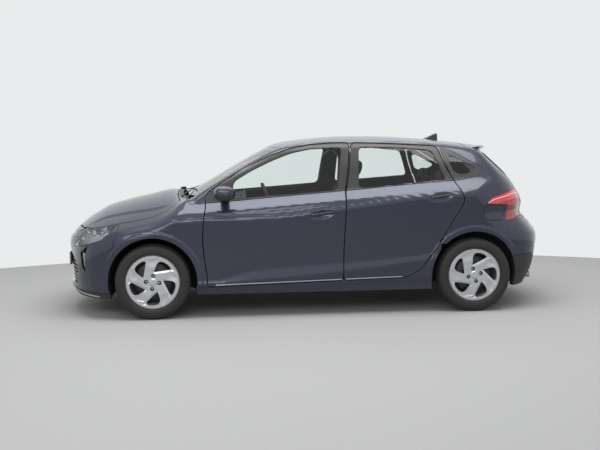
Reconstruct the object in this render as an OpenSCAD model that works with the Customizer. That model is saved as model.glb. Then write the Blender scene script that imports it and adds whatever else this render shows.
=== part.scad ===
// Five-door hatchback car: painted body on four wheels, hinged doors, bonnet, tailgate and fuel flap.
// Millimetres. +Z is up, the car faces -Y, and its left side is +X.
// The origin is on the ground, half-way along the car's length.

/* [Body] */
// Distance between the front and rear axle lines
wheelbase = 2580; // [2200:10:3000]
// Front axle line to the nose
front_overhang = 755; // [650:5:950]
// Rear axle line to the tail
rear_overhang = 705; // [600:5:900]
// Width of the body without its mirrors
body_width = 1775; // [1550:5:2100]
// Height of the roof at its crest
roof_height = 1436; // [1250:2:1700]

/* [Panels] */
// Thickness of a door, from its skin to its inner trim
door_depth = 105; // [70:5:130]
// Thickness of a window frame or roof pillar
frame_depth = 46; // [30:2:60]
// Thickness of an outer panel that is a single skin
skin = 10; // [6:1:14]
// Thickness of the window glass
glass = 5; // [3:1:8]
// Set-back of the glass from the panel that surrounds it
glass_inset = 6; // [2:1:12]
// Gap round a panel that opens
shut_gap = 8; // [6:1:12]
// Gap between fixed pieces that are fastened together
seat_gap = 0.4; // [0.3:0.1:0.8]

/* [Wheels] */
// Distance between the centre planes of the two wheels of an axle
track = 1545; // [1350:5:1800]
// Radius of a loaded tyre, axle line to ground
tyre_radius = 298; // [270:1:330]
// Width of a tyre
tyre_width = 185; // [145:5:225]
// Diameter of the rim's bead seat
rim_diameter = 381; // [330:1:432]
// Space between a tyre's tread and its wheel arch
arch_space = 60; // [45:1:90]
// Radius of the hub spindle that a wheel turns on
spindle_radius = 30; // [20:1:35]

/* [Steering] */
// Lean of the steering axis, top inwards, in degrees
kingpin_lean = 10; // [4:1:14]
// Distance of the steering axis inboard of the wheel's centre plane at axle height
kingpin_offset = 20; // [0:5:40]
// Diameter of the steering wheel
steering_wheel_d = 370; // [330:5:420]

/* [Cabin] */
// Width of one front seat
seat_width = 500; // [420:10:540]
// Distance of a front seat's middle from the middle of the car
seat_centre = 355; // [300:5:400]

/* [Hidden] */

// The lines of the body are drawn at these sizes, from the middle of the wheelbase, and then
// stretched to the sizes above.
drawn_wheelbase = 2580;
drawn_front = 755;
drawn_rear = 705;
drawn_width = 1775;
drawn_height = 1436;

far = 3000;
length = front_overhang + wheelbase + rear_overhang;
front_axle = front_overhang - length / 2;
rear_axle = front_axle + wheelbase;
arch_radius = tyre_radius + arch_space;
half_track = track / 2;

function station(y) =
    y < -drawn_wheelbase / 2
        ? front_axle + (y + drawn_wheelbase / 2) * front_overhang / drawn_front
        : y > drawn_wheelbase / 2
        ? rear_axle + (y - drawn_wheelbase / 2) * rear_overhang / drawn_rear
        : (front_axle + rear_axle) / 2 + y * wheelbase / drawn_wheelbase;
function breadth(x) = x * body_width / drawn_width;
function level(z) = z * roof_height / drawn_height;
function side_point(p) = [station(p[0]), level(p[1])];
function end_point(p) = [breadth(p[0]), level(p[1])];
function plan_point(p) = [breadth(p[0]), station(p[1])];

// ---- Curves through a few points

// Height of the smooth curve through the points of a line, at t
function segment(line, t, i = 0) =
    i >= len(line) - 2 || t < line[i + 1][0] ? i : segment(line, t, i + 1);
function slope_at(line, i) =
    let (a = max(i - 1, 0), b = min(i + 1, len(line) - 1))
    (line[b][1] - line[a][1]) / (line[b][0] - line[a][0]);
function follow(line, t) =
    let (i = segment(line, t), p = line[i], q = line[i + 1], h = q[0] - p[0],
         u = min(max((t - p[0]) / h, 0), 1))
    p[1] * (1 + 2 * u) * (1 - u) * (1 - u) + h * slope_at(line, i) * u * (1 - u) * (1 - u)
    + q[1] * u * u * (3 - 2 * u) + h * slope_at(line, i + 1) * u * u * (u - 1);

// ---- Lines of the body, as [station, height] or [station, half width]

plan_line = [[-2100, 800], [-1700, 862], [-1290, 882], [-400, 886], [400, 888], [1290, 882],
             [1650, 850], [1850, 805], [2050, 730]];
sill_line = [[-2100, 235], [-900, 245], [0, 266], [780, 290], [2050, 320]];
wedge_line = [[-2100, 330], [-830, 320], [-500, 375], [0, 410], [870, 450], [2050, 480]];
flank_line = [[-2100, 560], [0, 620], [2050, 700]];
crease_line = [[-2100, 745], [-1450, 766], [-870, 792], [-280, 806], [230, 866], [920, 944],
               [2050, 980]];
shoulder_line = [[-2100, 800], [-855, 840], [0, 900], [1040, 982], [2050, 1020]];
belt_line = [[-2100, 850], [-970, 902], [0, 976], [1060, 1058], [2050, 1090]];
rail_line = [[-2100, 1300], [-970, 1330], [200, 1390], [1300, 1345], [2050, 1300]];

// Distance of each line inboard of the plan line
sill_in = 34;
wedge_in = 14;
flank_in = 22;
shoulder_in = 38;
belt_in = 100;
rail_in = 268;
top_in = 330;

// Height of the middle of the car's top, from nose to tail
top_line = [[-2100, 640], [-2040, 668], [-1960, 712], [-1888, 765], [-1800, 815], [-1714, 856],
            [-1540, 907], [-1366, 946], [-1235, 977], [-1150, 993], [-1100, 975], [-1030, 967],
            [-984, 990], [-795, 1098], [-580, 1221], [-450, 1293], [-321, 1358], [-234, 1386],
            [-45, 1413], [133, 1428], [311, 1435], [490, 1435], [669, 1430], [849, 1419],
            [1030, 1405], [1212, 1386], [1395, 1363], [1580, 1338], [2050, 1280]];
// Fall of the top from its middle to 700 mm out
crown_line = [[-2100, 30], [-1900, 60], [-1700, 105], [-1300, 132], [-1120, 105], [-1000, 26],
              [-600, 18], [-200, 50], [400, 72], [1200, 66], [2050, 50]];
// Sweep of the top's lines towards the rear, from the middle to 700 mm out
sweep_line = [[-2100, 150], [-1800, 120], [-1300, 60], [-1050, 50], [-500, 45], [0, 0],
              [1100, 0], [1500, -90], [2050, -120]];

// Nose and tail, as [height, station] in the middle of the car
nose_line = [[100, -1960], [165, -2010], [240, -2038], [450, -2045], [600, -2035], [680, -2000],
             [760, -1930], [850, -1800], [1500, -1200]];
tail_line = [[100, 1840], [200, 1900], [330, 1965], [480, 1990], [600, 1995], [690, 1935],
             [780, 1858], [880, 1866], [980, 1815], [1080, 1748], [1235, 1580], [1330, 1475],
             [1400, 1400], [1500, 1300]];
// Sweep of the nose and tail back from their middle, as [half width, sweep]
nose_sweep = [[0, 0], [250, 22], [500, 95], [640, 165], [740, 250], [800, 330], [850, 430],
              [1000, 800]];
tail_sweep = [[0, 0], [250, 18], [450, 62], [600, 120], [700, 185], [770, 270], [830, 400],
              [1000, 800]];

stations = [-2100, -1980, -1860, -1740, -1600, -1450, -1290, -1150, -1060, -1000, -900, -780,
            -640, -500, -360, -200, 0, 240, 480, 720, 900, 1060, 1200, 1330, 1450, 1600, 1740,
            1860, 1960, 2060];
levels = [80, 160, 240, 330, 430, 540, 650, 760, 860, 980, 1080, 1180, 1280, 1380, 1500];
half_widths = [0, 150, 300, 430, 540, 620, 700, 760, 820, 880, 940];

function plan_at(y) = follow(plan_line, y);
// The side's section at a station: [height, half width] from the ground up
function side_section(y) =
    let (w = plan_at(y), sill = follow(sill_line, y), roof = follow(rail_line, y))
    [[60, w - 75], [sill - 60, w - 60], [sill, w - sill_in],
     [follow(wedge_line, y), w - wedge_in], [follow(flank_line, y), w - flank_in],
     [follow(crease_line, y), w], [follow(shoulder_line, y), w - shoulder_in],
     [follow(belt_line, y), w - belt_in],
     [(follow(belt_line, y) + roof) / 2, w - (belt_in + rail_in) / 2 + 10],
     [roof, w - rail_in], [roof + 60, w - top_in], [roof + 300, w - top_in - 220]];
BELT_STEP = 7;
function side_at(y, z) = lookup(z, side_section(y));
function top_at(x, y) =
    let (u = x * x / (700 * 700))
    follow(top_line, y - follow(sweep_line, y) * u) - follow(crown_line, y) * u;
function nose_at(x, z) = follow(nose_line, z) + follow(nose_sweep, abs(x));
function tail_at(x, z) = follow(tail_line, z) - follow(tail_sweep, abs(x));

// ---- Solids bounded by the body's surfaces

// Solid through rings of points, all with the same number of points, caps flat
module loft(rings) {
    m = len(rings[0]);
    n = len(rings);
    polyhedron(
        points = [for (r = rings) each r],
        faces = concat(
            [[for (k = [0:m - 1]) k]],
            [for (i = [0:n - 2], k = [0:m - 1]) let (a = i * m + k, b = i * m + (k + 1) % m)
                each [[a, a + m, b + m], [a, b + m, b]]],
            [[for (k = [m - 1:-1:0]) (n - 1) * m + k]]));
}
mirrored_widths = concat([for (i = [len(half_widths) - 1:-1:1]) -half_widths[i]], half_widths);

// Everything inside the two sides, moved in by low below the belt and by high above it
module within_sides(low, high) {
    loft([for (y = stations)
        let (s = side_section(y), n = len(s),
             half = [for (k = [0:n - 1])
                 [breadth(s[k][1] - (k <= BELT_STEP ? low : high)), station(y), level(s[k][0])]])
        concat([for (k = [0:n - 1]) [-half[k][0], half[k][1], half[k][2]]],
               [for (k = [n - 1:-1:0]) half[k]])]);
}
module under_top(d) {
    loft([for (y = stations)
        concat([for (x = mirrored_widths) [breadth(x), station(y), level(top_at(x, y) - d)]],
               [[breadth(1200), station(y), 0], [breadth(-1200), station(y), 0]])]);
}
module behind_nose(d) {
    loft([for (z = levels)
        concat([for (x = mirrored_widths) [breadth(x), station(nose_at(x, z) + d), level(z)]],
               [[breadth(1000), far, level(z)], [breadth(-1000), far, level(z)]])]);
}
module before_tail(d) {
    loft([for (z = levels)
        concat([[breadth(-1000), -far, level(z)], [breadth(1000), -far, level(z)]],
               [for (i = [len(mirrored_widths) - 1:-1:0])
                   let (x = mirrored_widths[i])
                   [breadth(x), station(tail_at(x, z) - d), level(z)]])]);
}
module body_solid(low, high, end) {
    intersection() {
        within_sides(low, high);
        under_top(end);
        behind_nose(end);
        before_tail(end);
    }
}
// The part of the body between two depths below its surface
module layer(from, low, high, end) {
    difference() {
        body_solid(from, from, from);
        body_solid(low, high, end);
    }
}
// The same between two depths below the sides alone
module side_layer(from, low, high) {
    difference() {
        intersection() {
            within_sides(from, from);
            under_top(from);
        }
        within_sides(low, high);
    }
}
// Prisms with an outline drawn from the side, from the front and from above
module side_prism(outline, inset = 0) {
    rotate([90, 0, 90])
        linear_extrude(far)
            offset(delta = -inset)
                polygon([for (p = outline) side_point(p)]);
}
module both_sides_prism(outline, inset = 0) {
    translate([-far, 0, 0])
        side_prism(outline, inset);
    side_prism(outline, inset);
}
module end_prism(outline, inset = 0) {
    rotate([90, 0, 0])
        linear_extrude(2 * far, center = true)
            offset(delta = -inset)
                polygon([for (p = outline) end_point(p)]);
}
module plan_prism(outline, inset = 0) {
    linear_extrude(far)
        offset(delta = -inset)
            polygon([for (p = outline) plan_point(p)]);
}
function both_halves(outline) =
    concat(outline, [for (i = [len(outline) - 1:-1:0]) [-outline[i][0], outline[i][1]]]);
// Joins shapes that are made of many facets into one mesh
module meshed() {
    resize([0, 0, 0]) union() children();
}
module on_both_sides() {
    children();
    mirror([1, 0, 0]) children();
}
module block(low, high) {
    translate(low) cube(high - low);
}
module tube_between(a, b, r) {
    v = b - a;
    translate(a)
        rotate([0, acos(v[2] / norm(v)), atan2(v[1], v[0])])
            cylinder(h = norm(v), r = r, $fn = 24);
}

// ---- Outlines of the panels, drawn from the side as [station, height]

front_door_outline = [
    [-859, 248], [218, 278], [223, 525], [232, 684], [241, 843], [246, 1002], [255, 1040],
    [282, 1195], [300, 1376], [147, 1376], [-17, 1364], [-180, 1333], [-343, 1278],
    [-506, 1202], [-669, 1113], [-800, 1027], [-868, 978], [-865, 893], [-887, 745],
    [-894, 627], [-885, 493], [-864, 349]];
rear_door_outline = [
    [218, 278], [715, 290], [780, 311], [854, 366], [959, 509], [1041, 629], [1097, 724],
    [1162, 828], [1198, 891], [1190, 948], [1150, 1028], [1110, 1100], [1066, 1200],
    [1022, 1342], [807, 1354], [558, 1368], [314, 1376], [294, 1195], [263, 1040],
    [251, 1002], [241, 843], [232, 684], [223, 525]];
front_window_outline = [
    [-655, 937], [-116, 969], [190, 990], [215, 1190], [240, 1335], [-19, 1330],
    [-182, 1296], [-345, 1234], [-507, 1157], [-650, 1072]];
rear_window_outline = [
    [352, 1003], [1072, 1050], [1020, 1200], [975, 1306], [720, 1329], [372, 1338]];
quarter_window_outline = [
    [1062, 1310], [1150, 1284], [1370, 1155], [1293, 1120], [1200, 1098], [1138, 1126]];
tail_lamp_outline = [
    [1388, 874], [1432, 919], [1656, 977], [2100, 985], [2100, 760], [1684, 760],
    [1642, 740], [1556, 731], [1584, 862]];
fuel_flap_outline = [
    [1373, 866], [1357, 799], [1365, 746], [1528, 735], [1558, 852]];
headlamp_outline = [
    [-2000, 548], [-1900, 565], [-1800, 590], [-1700, 628], [-1560, 752], [-1542, 782],
    [-1700, 748], [-1800, 722], [-1930, 668], [-2000, 640]];
wing_outline = [
    [-1545, 1010], [-1545, 770], [-1560, 700], [-1600, 560], [-1523, 245], [-866, 245],
    [-866, 300], [-800, 300], [-800, 905], [-985, 905], [-1060, 968], [-1060, 1010]];
side_outline = [
    [-985, 905], [-862, 905], [-862, 245], [-940, 245], [-940, 190], [1010, 190],
    [1010, 560], [1545, 560], [1575, 640], [1650, 735], [2100, 735], [2100, 1480],
    [-500, 1480], [-1060, 968]];
front_post_outline = [[-985, 190], [-905, 190], [-905, 905], [-985, 905]];
front_bumper_outline = [
    [-2100, 150], [-1500, 150], [-1600, 560], [-1560, 700], [-1545, 770], [-1700, 1010],
    [-2100, 1010]];
rear_bumper_outline = [
    [1480, 190], [2100, 190], [2100, 735], [1650, 735], [1575, 640], [1545, 560],
    [1480, 560]];

// Outlines drawn from the end as [half width, height], and from above as [half width, station]
grille_outline = both_halves([
    [0, 556], [330, 546], [420, 506], [540, 470], [615, 385], [600, 310], [560, 255],
    [0, 240]]);
tailgate_outline = both_halves([
    [0, 1470], [556, 1470], [570, 1300], [598, 1100], [608, 1000], [610, 745], [560, 690],
    [0, 690]]);
tailgate_window_outline = both_halves([
    [0, 1305], [470, 1290], [505, 1200], [520, 1085], [480, 1045], [0, 1035]]);
bonnet_outline = both_halves([
    [0, -1945], [250, -1925], [450, -1870], [600, -1780], [690, -1640], [722, -1450],
    [725, -1290], [712, -1170], [680, -1100], [640, -1072], [400, -1098], [0, -1118]]);
scuttle_outline = both_halves([
    [0, -1110], [400, -1090], [620, -1068], [690, -1030], [680, -955], [640, -949],
    [400, -1008], [0, -1035]]);
windscreen_outline = both_halves([
    [0, -1035], [400, -1008], [640, -949], [655, -945], [572, -275], [300, -322], [0, -338]]);
windscreen_seat_outline = both_halves([
    [0, -1040], [400, -1014], [640, -955], [640, -925], [400, -985], [0, -1005]]);
roof_outline = both_halves([
    [0, -338], [300, -322], [572, -275], [566, 200], [556, 1285], [0, 1285]]);

// ---- Wheel arches

liner = 6;
liner_out = 815;
front_liner_in = half_track - 278.5;
rear_liner_in = half_track - 122.5;
function axle_y(front) = front ? front_axle : rear_axle;
module lengthways_of(from, to) {
    block([-far, station(from), 0], [far, station(to), far]);
}
module between_x(from, to) {
    block([breadth(from), -2 * far, 0], [breadth(to), 2 * far, far]);
}
module arch_cylinder(front, r, from, to) {
    translate([from, axle_y(front), tyre_radius])
        rotate([0, 90, 0])
            cylinder(h = to - from, r = r, $fn = 64);
}
// Room for the wheels and their liners in what surrounds them
module arch_room() {
    on_both_sides()
        for (front = [true, false]) {
            inner = (front ? front_liner_in : rear_liner_in) - seat_gap;
            arch_cylinder(front, arch_radius + liner + seat_gap, inner,
                          breadth(liner_out) + seat_gap);
            arch_cylinder(front, arch_radius, inner, breadth(1100));
        }
}
module arch_liners() {
    color("dimgray") meshed()
        on_both_sides()
            for (front = [true, false]) {
                inner = front ? front_liner_in : rear_liner_in;
                base = front ? 1.25 * tyre_radius : 0.75 * tyre_radius;
                difference() {
                    arch_cylinder(front, arch_radius + liner, inner, breadth(liner_out));
                    arch_cylinder(front, arch_radius, inner + liner, far);
                    translate([0, axle_y(front) - far / 2, base - far])
                        cube([far, far, far]);
                    if (!front)
                        translate([inner - 1, axle_y(front) - 200, 0])
                            cube([liner + 2, 400, tyre_radius + 120]);
                }
            }
}

// ---- Hinges. A bracket on the body carries a pin, and an eye on the panel turns on the pin.

pin_radius = 5;
eye_bore = pin_radius + 0.5;
eye_radius = 10;
hinge_plate = 9;
door_pin_back = 74;   // pin behind a door's leading edge
door_pin_depth = 40;  // pin inboard of the widest line of the side
thick_back = 30;      // thick part of a door behind the pin
hinge_back = 30;      // pin behind the bonnet's or tailgate's edge
front_hinge = [breadth(plan_at(-870) - door_pin_depth), station(-894 + door_pin_back)];
rear_hinge = [breadth(plan_at(240) - door_pin_depth), station(232 + door_pin_back)];
hinge_levels = [430, 760];
bonnet_hinge = [station(-1118 - hinge_back), level(950)];
bonnet_hinge_x = 220;
tailgate_front = 1296;
tailgate_hinge = [station(tailgate_front + hinge_back), level(1350)];
tailgate_hinge_x = 250;
flap_hinge = [breadth(side_at(1380, 800) - 5), station(1380)];
flap_pin_radius = 2.5;

// Plates of a bracket, with the pin along Z at the origin
module bracket(reach) {
    translate([0, 0, -hinge_plate]) linear_extrude(hinge_plate) {
        circle(r = eye_radius, $fn = 24);
        polygon([for (p = reach) p]);
    }
    translate([0, 0, -hinge_plate / 2])
        cylinder(h = 1.5 * hinge_plate + 6, r = pin_radius, $fn = 24);
}
// Eye with an arm of a given outline, just above the bracket
module eye(arm) {
    translate([0, 0, 0.5])
        linear_extrude(hinge_plate)
            difference() {
                union() {
                    circle(r = eye_radius, $fn = 24);
                    polygon([for (p = arm) p]);
                }
                circle(r = eye_bore, $fn = 24);
            }
}
swan_neck = [[0, 6], [-70, 6], [-70, -100], [-52, -100], [-52, -6], [0, -6]];
arm_reach = breadth(door_depth - door_pin_depth + 50);
straight_arm = [[0, 6], [-arm_reach, 6], [-arm_reach, -8], [0, -6]];
door_arm = [[-8, 0], [8, 0], [8, thick_back + 20], [-8, thick_back + 20]];
module at_hinges(place) {
    for (z = hinge_levels)
        translate([place[0], place[1], level(z)]) children();
}
// Turns a hinge drawn with its pin along Z so that the pin runs along X
module across(x, place) {
    translate([x, place[0], place[1]])
        rotate([90, 0, 90])
            children();
}

// ---- Body panels

module door_cut(outline) {
    both_sides_prism(outline, -shut_gap / 2);
}
module body_sides() {
    color("darkslateblue") meshed() {
        difference() {
            union() {
                intersection() {
                    layer(0, door_depth, frame_depth, frame_depth);
                    both_sides_prism(side_outline);
                }
                intersection() {
                    side_layer(12.5, door_depth, door_depth);
                    both_sides_prism(front_post_outline);
                }
            }
            door_cut(front_door_outline);
            door_cut(rear_door_outline);
            both_sides_prism(quarter_window_outline);
            both_sides_prism(tail_lamp_outline, -seat_gap);
            intersection() {
                side_prism(fuel_flap_outline, -3.5);
                layer(-1, 32, 32, 32);
            }
            intersection() {
                plan_prism(roof_outline, -seat_gap);
                block([-far, -far, level(900)], [far, station(1290), far]);
            }
            intersection() {
                plan_prism(windscreen_outline, -seat_gap);
                block([-far, -far, level(900)], [far, 0, far]);
            }
            intersection() {
                plan_prism(bonnet_outline, -shut_gap);
                block([-far, -far, level(600)], [far, 0, far]);
            }
            intersection() {
                plan_prism(scuttle_outline, -seat_gap);
                block([-far, -far, level(600)], [far, 0, far]);
            }
            intersection() {
                end_prism(tailgate_outline, -shut_gap / 2);
                block([-far, station(1284), 0], [far, far, far]);
            }
            translate([flap_hinge[0], flap_hinge[1], level(720)])
                cylinder(h = 60, r = flap_pin_radius + 0.5, $fn = 24);
            arch_room();
        }
        on_both_sides() {
            at_hinges(front_hinge) bracket(swan_neck);
            at_hinges(rear_hinge) bracket(straight_arm);
            centre_post();
        }
    }
}
// Post between the doors, inboard of both, from the sill to the roof rail
module centre_post() {
    low = plan_at(240) - door_depth - 12;
    intersection() {
        within_sides(door_depth + 20, frame_depth + 12);
        difference() {
            block([breadth(640), station(200), level(205)],
                  [breadth(900), station(320), level(1385)]);
            within_sides(door_depth + 57, frame_depth + 42);
        }
    }
    block([breadth(low - 60), station(200), level(205)],
          [breadth(low + 6), station(320), level(268)]);
    intersection() {
        within_sides(6, 6);
        block([breadth(574), station(215), level(1383)],
              [breadth(700), station(305), level(1395)]);
    }
}
module roof_panel() {
    color("darkslateblue") meshed() {
        intersection() {
            layer(0, 30, 30, 30);
            plan_prism(roof_outline);
            block([-far, -far, level(1250)], [far, far, far]);
        }
        for (s = [-1, 1])
            across(s * breadth(tailgate_hinge_x), tailgate_hinge)
                bracket([[6, 0], [6, -46], [-62, -46], [-62, -14], [-84, -14], [-84, 6],
                         [-46, 6], [-46, -34], [-6, -34], [-6, 0]]);
    }
}
module front_wings() {
    color("darkslateblue") meshed()
        difference() {
            intersection() {
                layer(0, 12, 12, 12);
                both_sides_prism(wing_outline, seat_gap / 2);
            }
            door_cut(front_door_outline);
            headlamp_cut(-seat_gap);
            plan_prism(bonnet_outline, -shut_gap / 2);
            arch_room();
            between_x(-600, 600);
        }
}
module front_bumper() {
    color("darkslateblue") meshed()
        difference() {
            intersection() {
                layer(0, 30, 30, 30);
                both_sides_prism(front_bumper_outline, seat_gap / 2);
            }
            headlamp_cut(-seat_gap);
            plan_prism_above(bonnet_outline, -shut_gap / 2, 640);
            end_prism(grille_outline);
            arch_room();
            lengthways_of(-1400, 2100);
        }
}
headlamp_in = 400;
module headlamp_cut(inset) {
    difference() {
        both_sides_prism(headlamp_outline, inset);
        between_x(-headlamp_in - inset, headlamp_in + inset);
    }
}
module plan_prism_above(outline, inset, z) {
    intersection() {
        plan_prism(outline, inset);
        block([-far, -far, level(z)], [far, far, far]);
    }
}
module grille() {
    color("black") meshed()
        difference() {
            intersection() {
                layer(12, 34, 34, 34);
                end_prism(grille_outline, seat_gap);
                block([-far, -far, 0], [far, station(-1500), far]);
            }
            on_tow_eye() cylinder(h = 400, r = tow_way / 2, $fn = 32);
        }
}
module rear_bumper() {
    color("darkslateblue") meshed()
        difference() {
            intersection() {
                layer(0, 40, 40, 40);
                both_sides_prism(rear_bumper_outline, seat_gap / 2);
            }
            both_sides_prism(tail_lamp_outline, -seat_gap);
            end_prism(tailgate_outline, -shut_gap / 2);
            arch_room();
        }
}
module bonnet() {
    color("darkslateblue") meshed() {
        intersection() {
            layer(0, 14, 14, 14);
            plan_prism_above(bonnet_outline, shut_gap / 2, 600);
        }
        for (s = [-1, 1])
            across(s * breadth(bonnet_hinge_x), bonnet_hinge)
                eye([[-9, 0], [-9, level(24)], [9, level(24)], [9, 0]]);
    }
}
module tailgate() {
    color("darkslateblue") meshed() {
        difference() {
            intersection() {
                layer(0, 50, 50, 50);
                end_prism(tailgate_outline, shut_gap / 2);
                block([-far, station(tailgate_front), 0], [far, far, far]);
            }
            end_prism(tailgate_window_outline);
            for (s = [-1, 1])
                translate([s * breadth(tailgate_hinge_x) - 25, 0, level(1350) - 70])
                    cube([60, station(1352), 82]);
        }
        for (s = [-1, 1])
            across(s * breadth(tailgate_hinge_x), tailgate_hinge)
                eye([[0, 8], [0, -8], [34, -8], [34, 8]]);
    }
}
module fuel_flap() {
    color("darkslateblue") meshed() {
        intersection() {
            layer(0, 9, 9, 9);
            side_prism(fuel_flap_outline, 2);
        }
        translate([flap_hinge[0], flap_hinge[1], level(732)])
            cylinder(h = 30, r = flap_pin_radius, $fn = 24);
    }
}
module scuttle_panel() {
    color("black") meshed() {
        intersection() {
            layer(40, 55, 55, 55);
            plan_prism_above(scuttle_outline, 0, 700);
        }
        intersection() {
            layer(glass_inset + glass + seat_gap, 55, 55, 55);
            plan_prism_above(windscreen_seat_outline, 0, 700);
        }
    }
}
// Skin all over, and the thick part from behind the hinge, or from the edge above leading
module doors_shell(outline, window, hinge, leading) {
    meshed() {
        difference() {
            union() {
                intersection() {
                    side_layer(0, skin - 2, skin - 2);
                    side_prism(outline, shut_gap / 2);
                }
                intersection() {
                    side_layer(skin - 3, door_depth, frame_depth);
                    side_prism(outline, shut_gap / 2 + 14);
                    union() {
                        block([0, hinge[1] + thick_back, 0], [far, far, level(leading) + 5]);
                        block([0, -far, level(leading)], [far, far, far]);
                    }
                }
            }
            side_prism(window);
        }
        intersection() {
            at_hinges(hinge) eye(door_arm);
            within_sides(2, 2);
        }
    }
}
module front_door() { doors_shell(front_door_outline, front_window_outline, front_hinge, 885); }
module rear_door() { doors_shell(rear_door_outline, rear_window_outline, rear_hinge, 975); }
module front_door_left() { color("darkslateblue") front_door(); }
module front_door_right() { color("darkslateblue") mirror([1, 0, 0]) front_door(); }
module rear_door_left() { color("darkslateblue") rear_door(); }
module rear_door_right() { color("darkslateblue") mirror([1, 0, 0]) rear_door(); }

// ---- Glass and lamps

module pane() {
    meshed()
        intersection() {
            layer(glass_inset, glass_inset + glass, glass_inset + glass, glass_inset + glass);
            children();
        }
}
module windscreen() {
    color("lightblue", 0.5) pane() plan_prism_above(windscreen_outline, 0, 900);
}
module side_pane() {
    meshed()
        intersection() {
            side_layer(glass_inset, glass_inset + glass, glass_inset + glass);
            children();
        }
}
module quarter_windows() {
    color("lightblue", 0.5) side_pane() both_sides_prism(quarter_window_outline, seat_gap);
}
module tailgate_window() {
    color("lightblue", 0.5) pane()
        intersection() {
            end_prism(tailgate_window_outline, seat_gap);
            block([-far, 0, 0], [far, far, far]);
        }
}
module front_window() { side_pane() side_prism(front_window_outline, seat_gap); }
module rear_window() { side_pane() side_prism(rear_window_outline, seat_gap); }
module front_window_left() { color("lightblue", 0.5) front_window(); }
module front_window_right() { color("lightblue", 0.5) mirror([1, 0, 0]) front_window(); }
module rear_window_left() { color("lightblue", 0.5) rear_window(); }
module rear_window_right() { color("lightblue", 0.5) mirror([1, 0, 0]) rear_window(); }
module headlamps() {
    color("white") meshed()
        difference() {
            intersection() {
                layer(0, 60, 60, 60);
                headlamp_cut(0);
            }
            plan_prism_above(bonnet_outline, -shut_gap / 2, 600);
            arch_room();
        }
}
module tail_lamps() {
    color("darkred") meshed()
        difference() {
            intersection() {
                layer(0, 60, 60, 60);
                both_sides_prism(tail_lamp_outline);
            }
            end_prism(tailgate_outline, -shut_gap / 2);
            arch_room();
        }
}
module mirror_shell() {
    meshed()
        difference() {
            union() {
                hull() {
                    for (p = [[872, -770, 975], [872, -660, 985], [958, -755, 985],
                              [965, -665, 1000], [880, -715, 1022], [950, -712, 1022],
                              [880, -715, 955], [945, -712, 960]])
                        translate([breadth(p[0]), station(p[1]), level(p[2])])
                            sphere(r = 28, $fn = 16);
                }
                hull()
                    for (p = [[885, -700, 960], [765, -700, 955], [765, -745, 960]])
                        translate([breadth(p[0]), station(p[1]), level(p[2])])
                            sphere(r = 16, $fn = 12);
            }
            within_sides(-seat_gap, -seat_gap);
        }
}
module mirror_left() { color("darkslateblue") mirror_shell(); }
module mirror_right() { color("darkslateblue") mirror([1, 0, 0]) mirror_shell(); }
module roof_aerial() {
    a = 1060;
    b = 1200;
    half = 18;
    color("black") meshed()
        translate([-half, 0, 0])
            rotate([90, 0, 90])
                linear_extrude(2 * half)
                    polygon([for (p = [[a, top_at(0, a) + seat_gap], [b, top_at(0, b) + seat_gap],
                                       [b - 14, top_at(0, a) + 60], [b - 40, top_at(0, a) + 62],
                                       [a + 40, top_at(0, a) + 24]])
                                side_point(p)]);
}

// ---- Under the body

floor_top = 235;
seat_floor = 345;
boot_floor = 505;
sheet = 20;
wall_y = -960;
floor_line = [[wall_y, 885], [wall_y, 420], [-800, floor_top], [560, floor_top],
              [640, seat_floor], [960, seat_floor], [1020, boot_floor], [1820, boot_floor]];
module floor_pan() {
    wall_front = wall_y - sheet;
    color("gray") meshed() {
        difference() {
            intersection() {
                both_sides_prism(concat(floor_line, [for (i = [len(floor_line) - 1:-1:0])
                    let (p = floor_line[i])
                    [p[0] + (p[0] < -500 ? -sheet : sheet), p[1] - (i > 0 ? sheet : 0)]]));
                body_solid(door_depth + seat_gap, door_depth + seat_gap, 80);
            }
            arch_room();
            centre_post_room();
        }
        for (s = [-1, 1]) {
            x = s * breadth(bonnet_hinge_x);
            across(x, bonnet_hinge) bracket([[-8, 0], [-8, -60], [8, -60], [8, 0]]);
            block([x - hinge_plate, bonnet_hinge[0] - 8, bonnet_hinge[1] - 90],
                  [x, station(wall_front) + 4, bonnet_hinge[1] - 55]);
            block([x - hinge_plate, station(wall_front) - 30, level(840)],
                  [x, station(wall_front) + 4, bonnet_hinge[1] - 56]);
        }
    }
}
module centre_post_room() {
    on_both_sides()
        block([breadth(plan_at(240) - door_depth - 125), station(199), level(200)],
              [breadth(900), station(321), level(280)]);
}
beam_low = 440;
beam_in = 440;
arm_level = tyre_radius - 108;
leg_low = arm_level - 40;
function kingpin_foot() = half_track - kingpin_offset
                          + (tyre_radius - arm_level) * tan(kingpin_lean);
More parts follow.
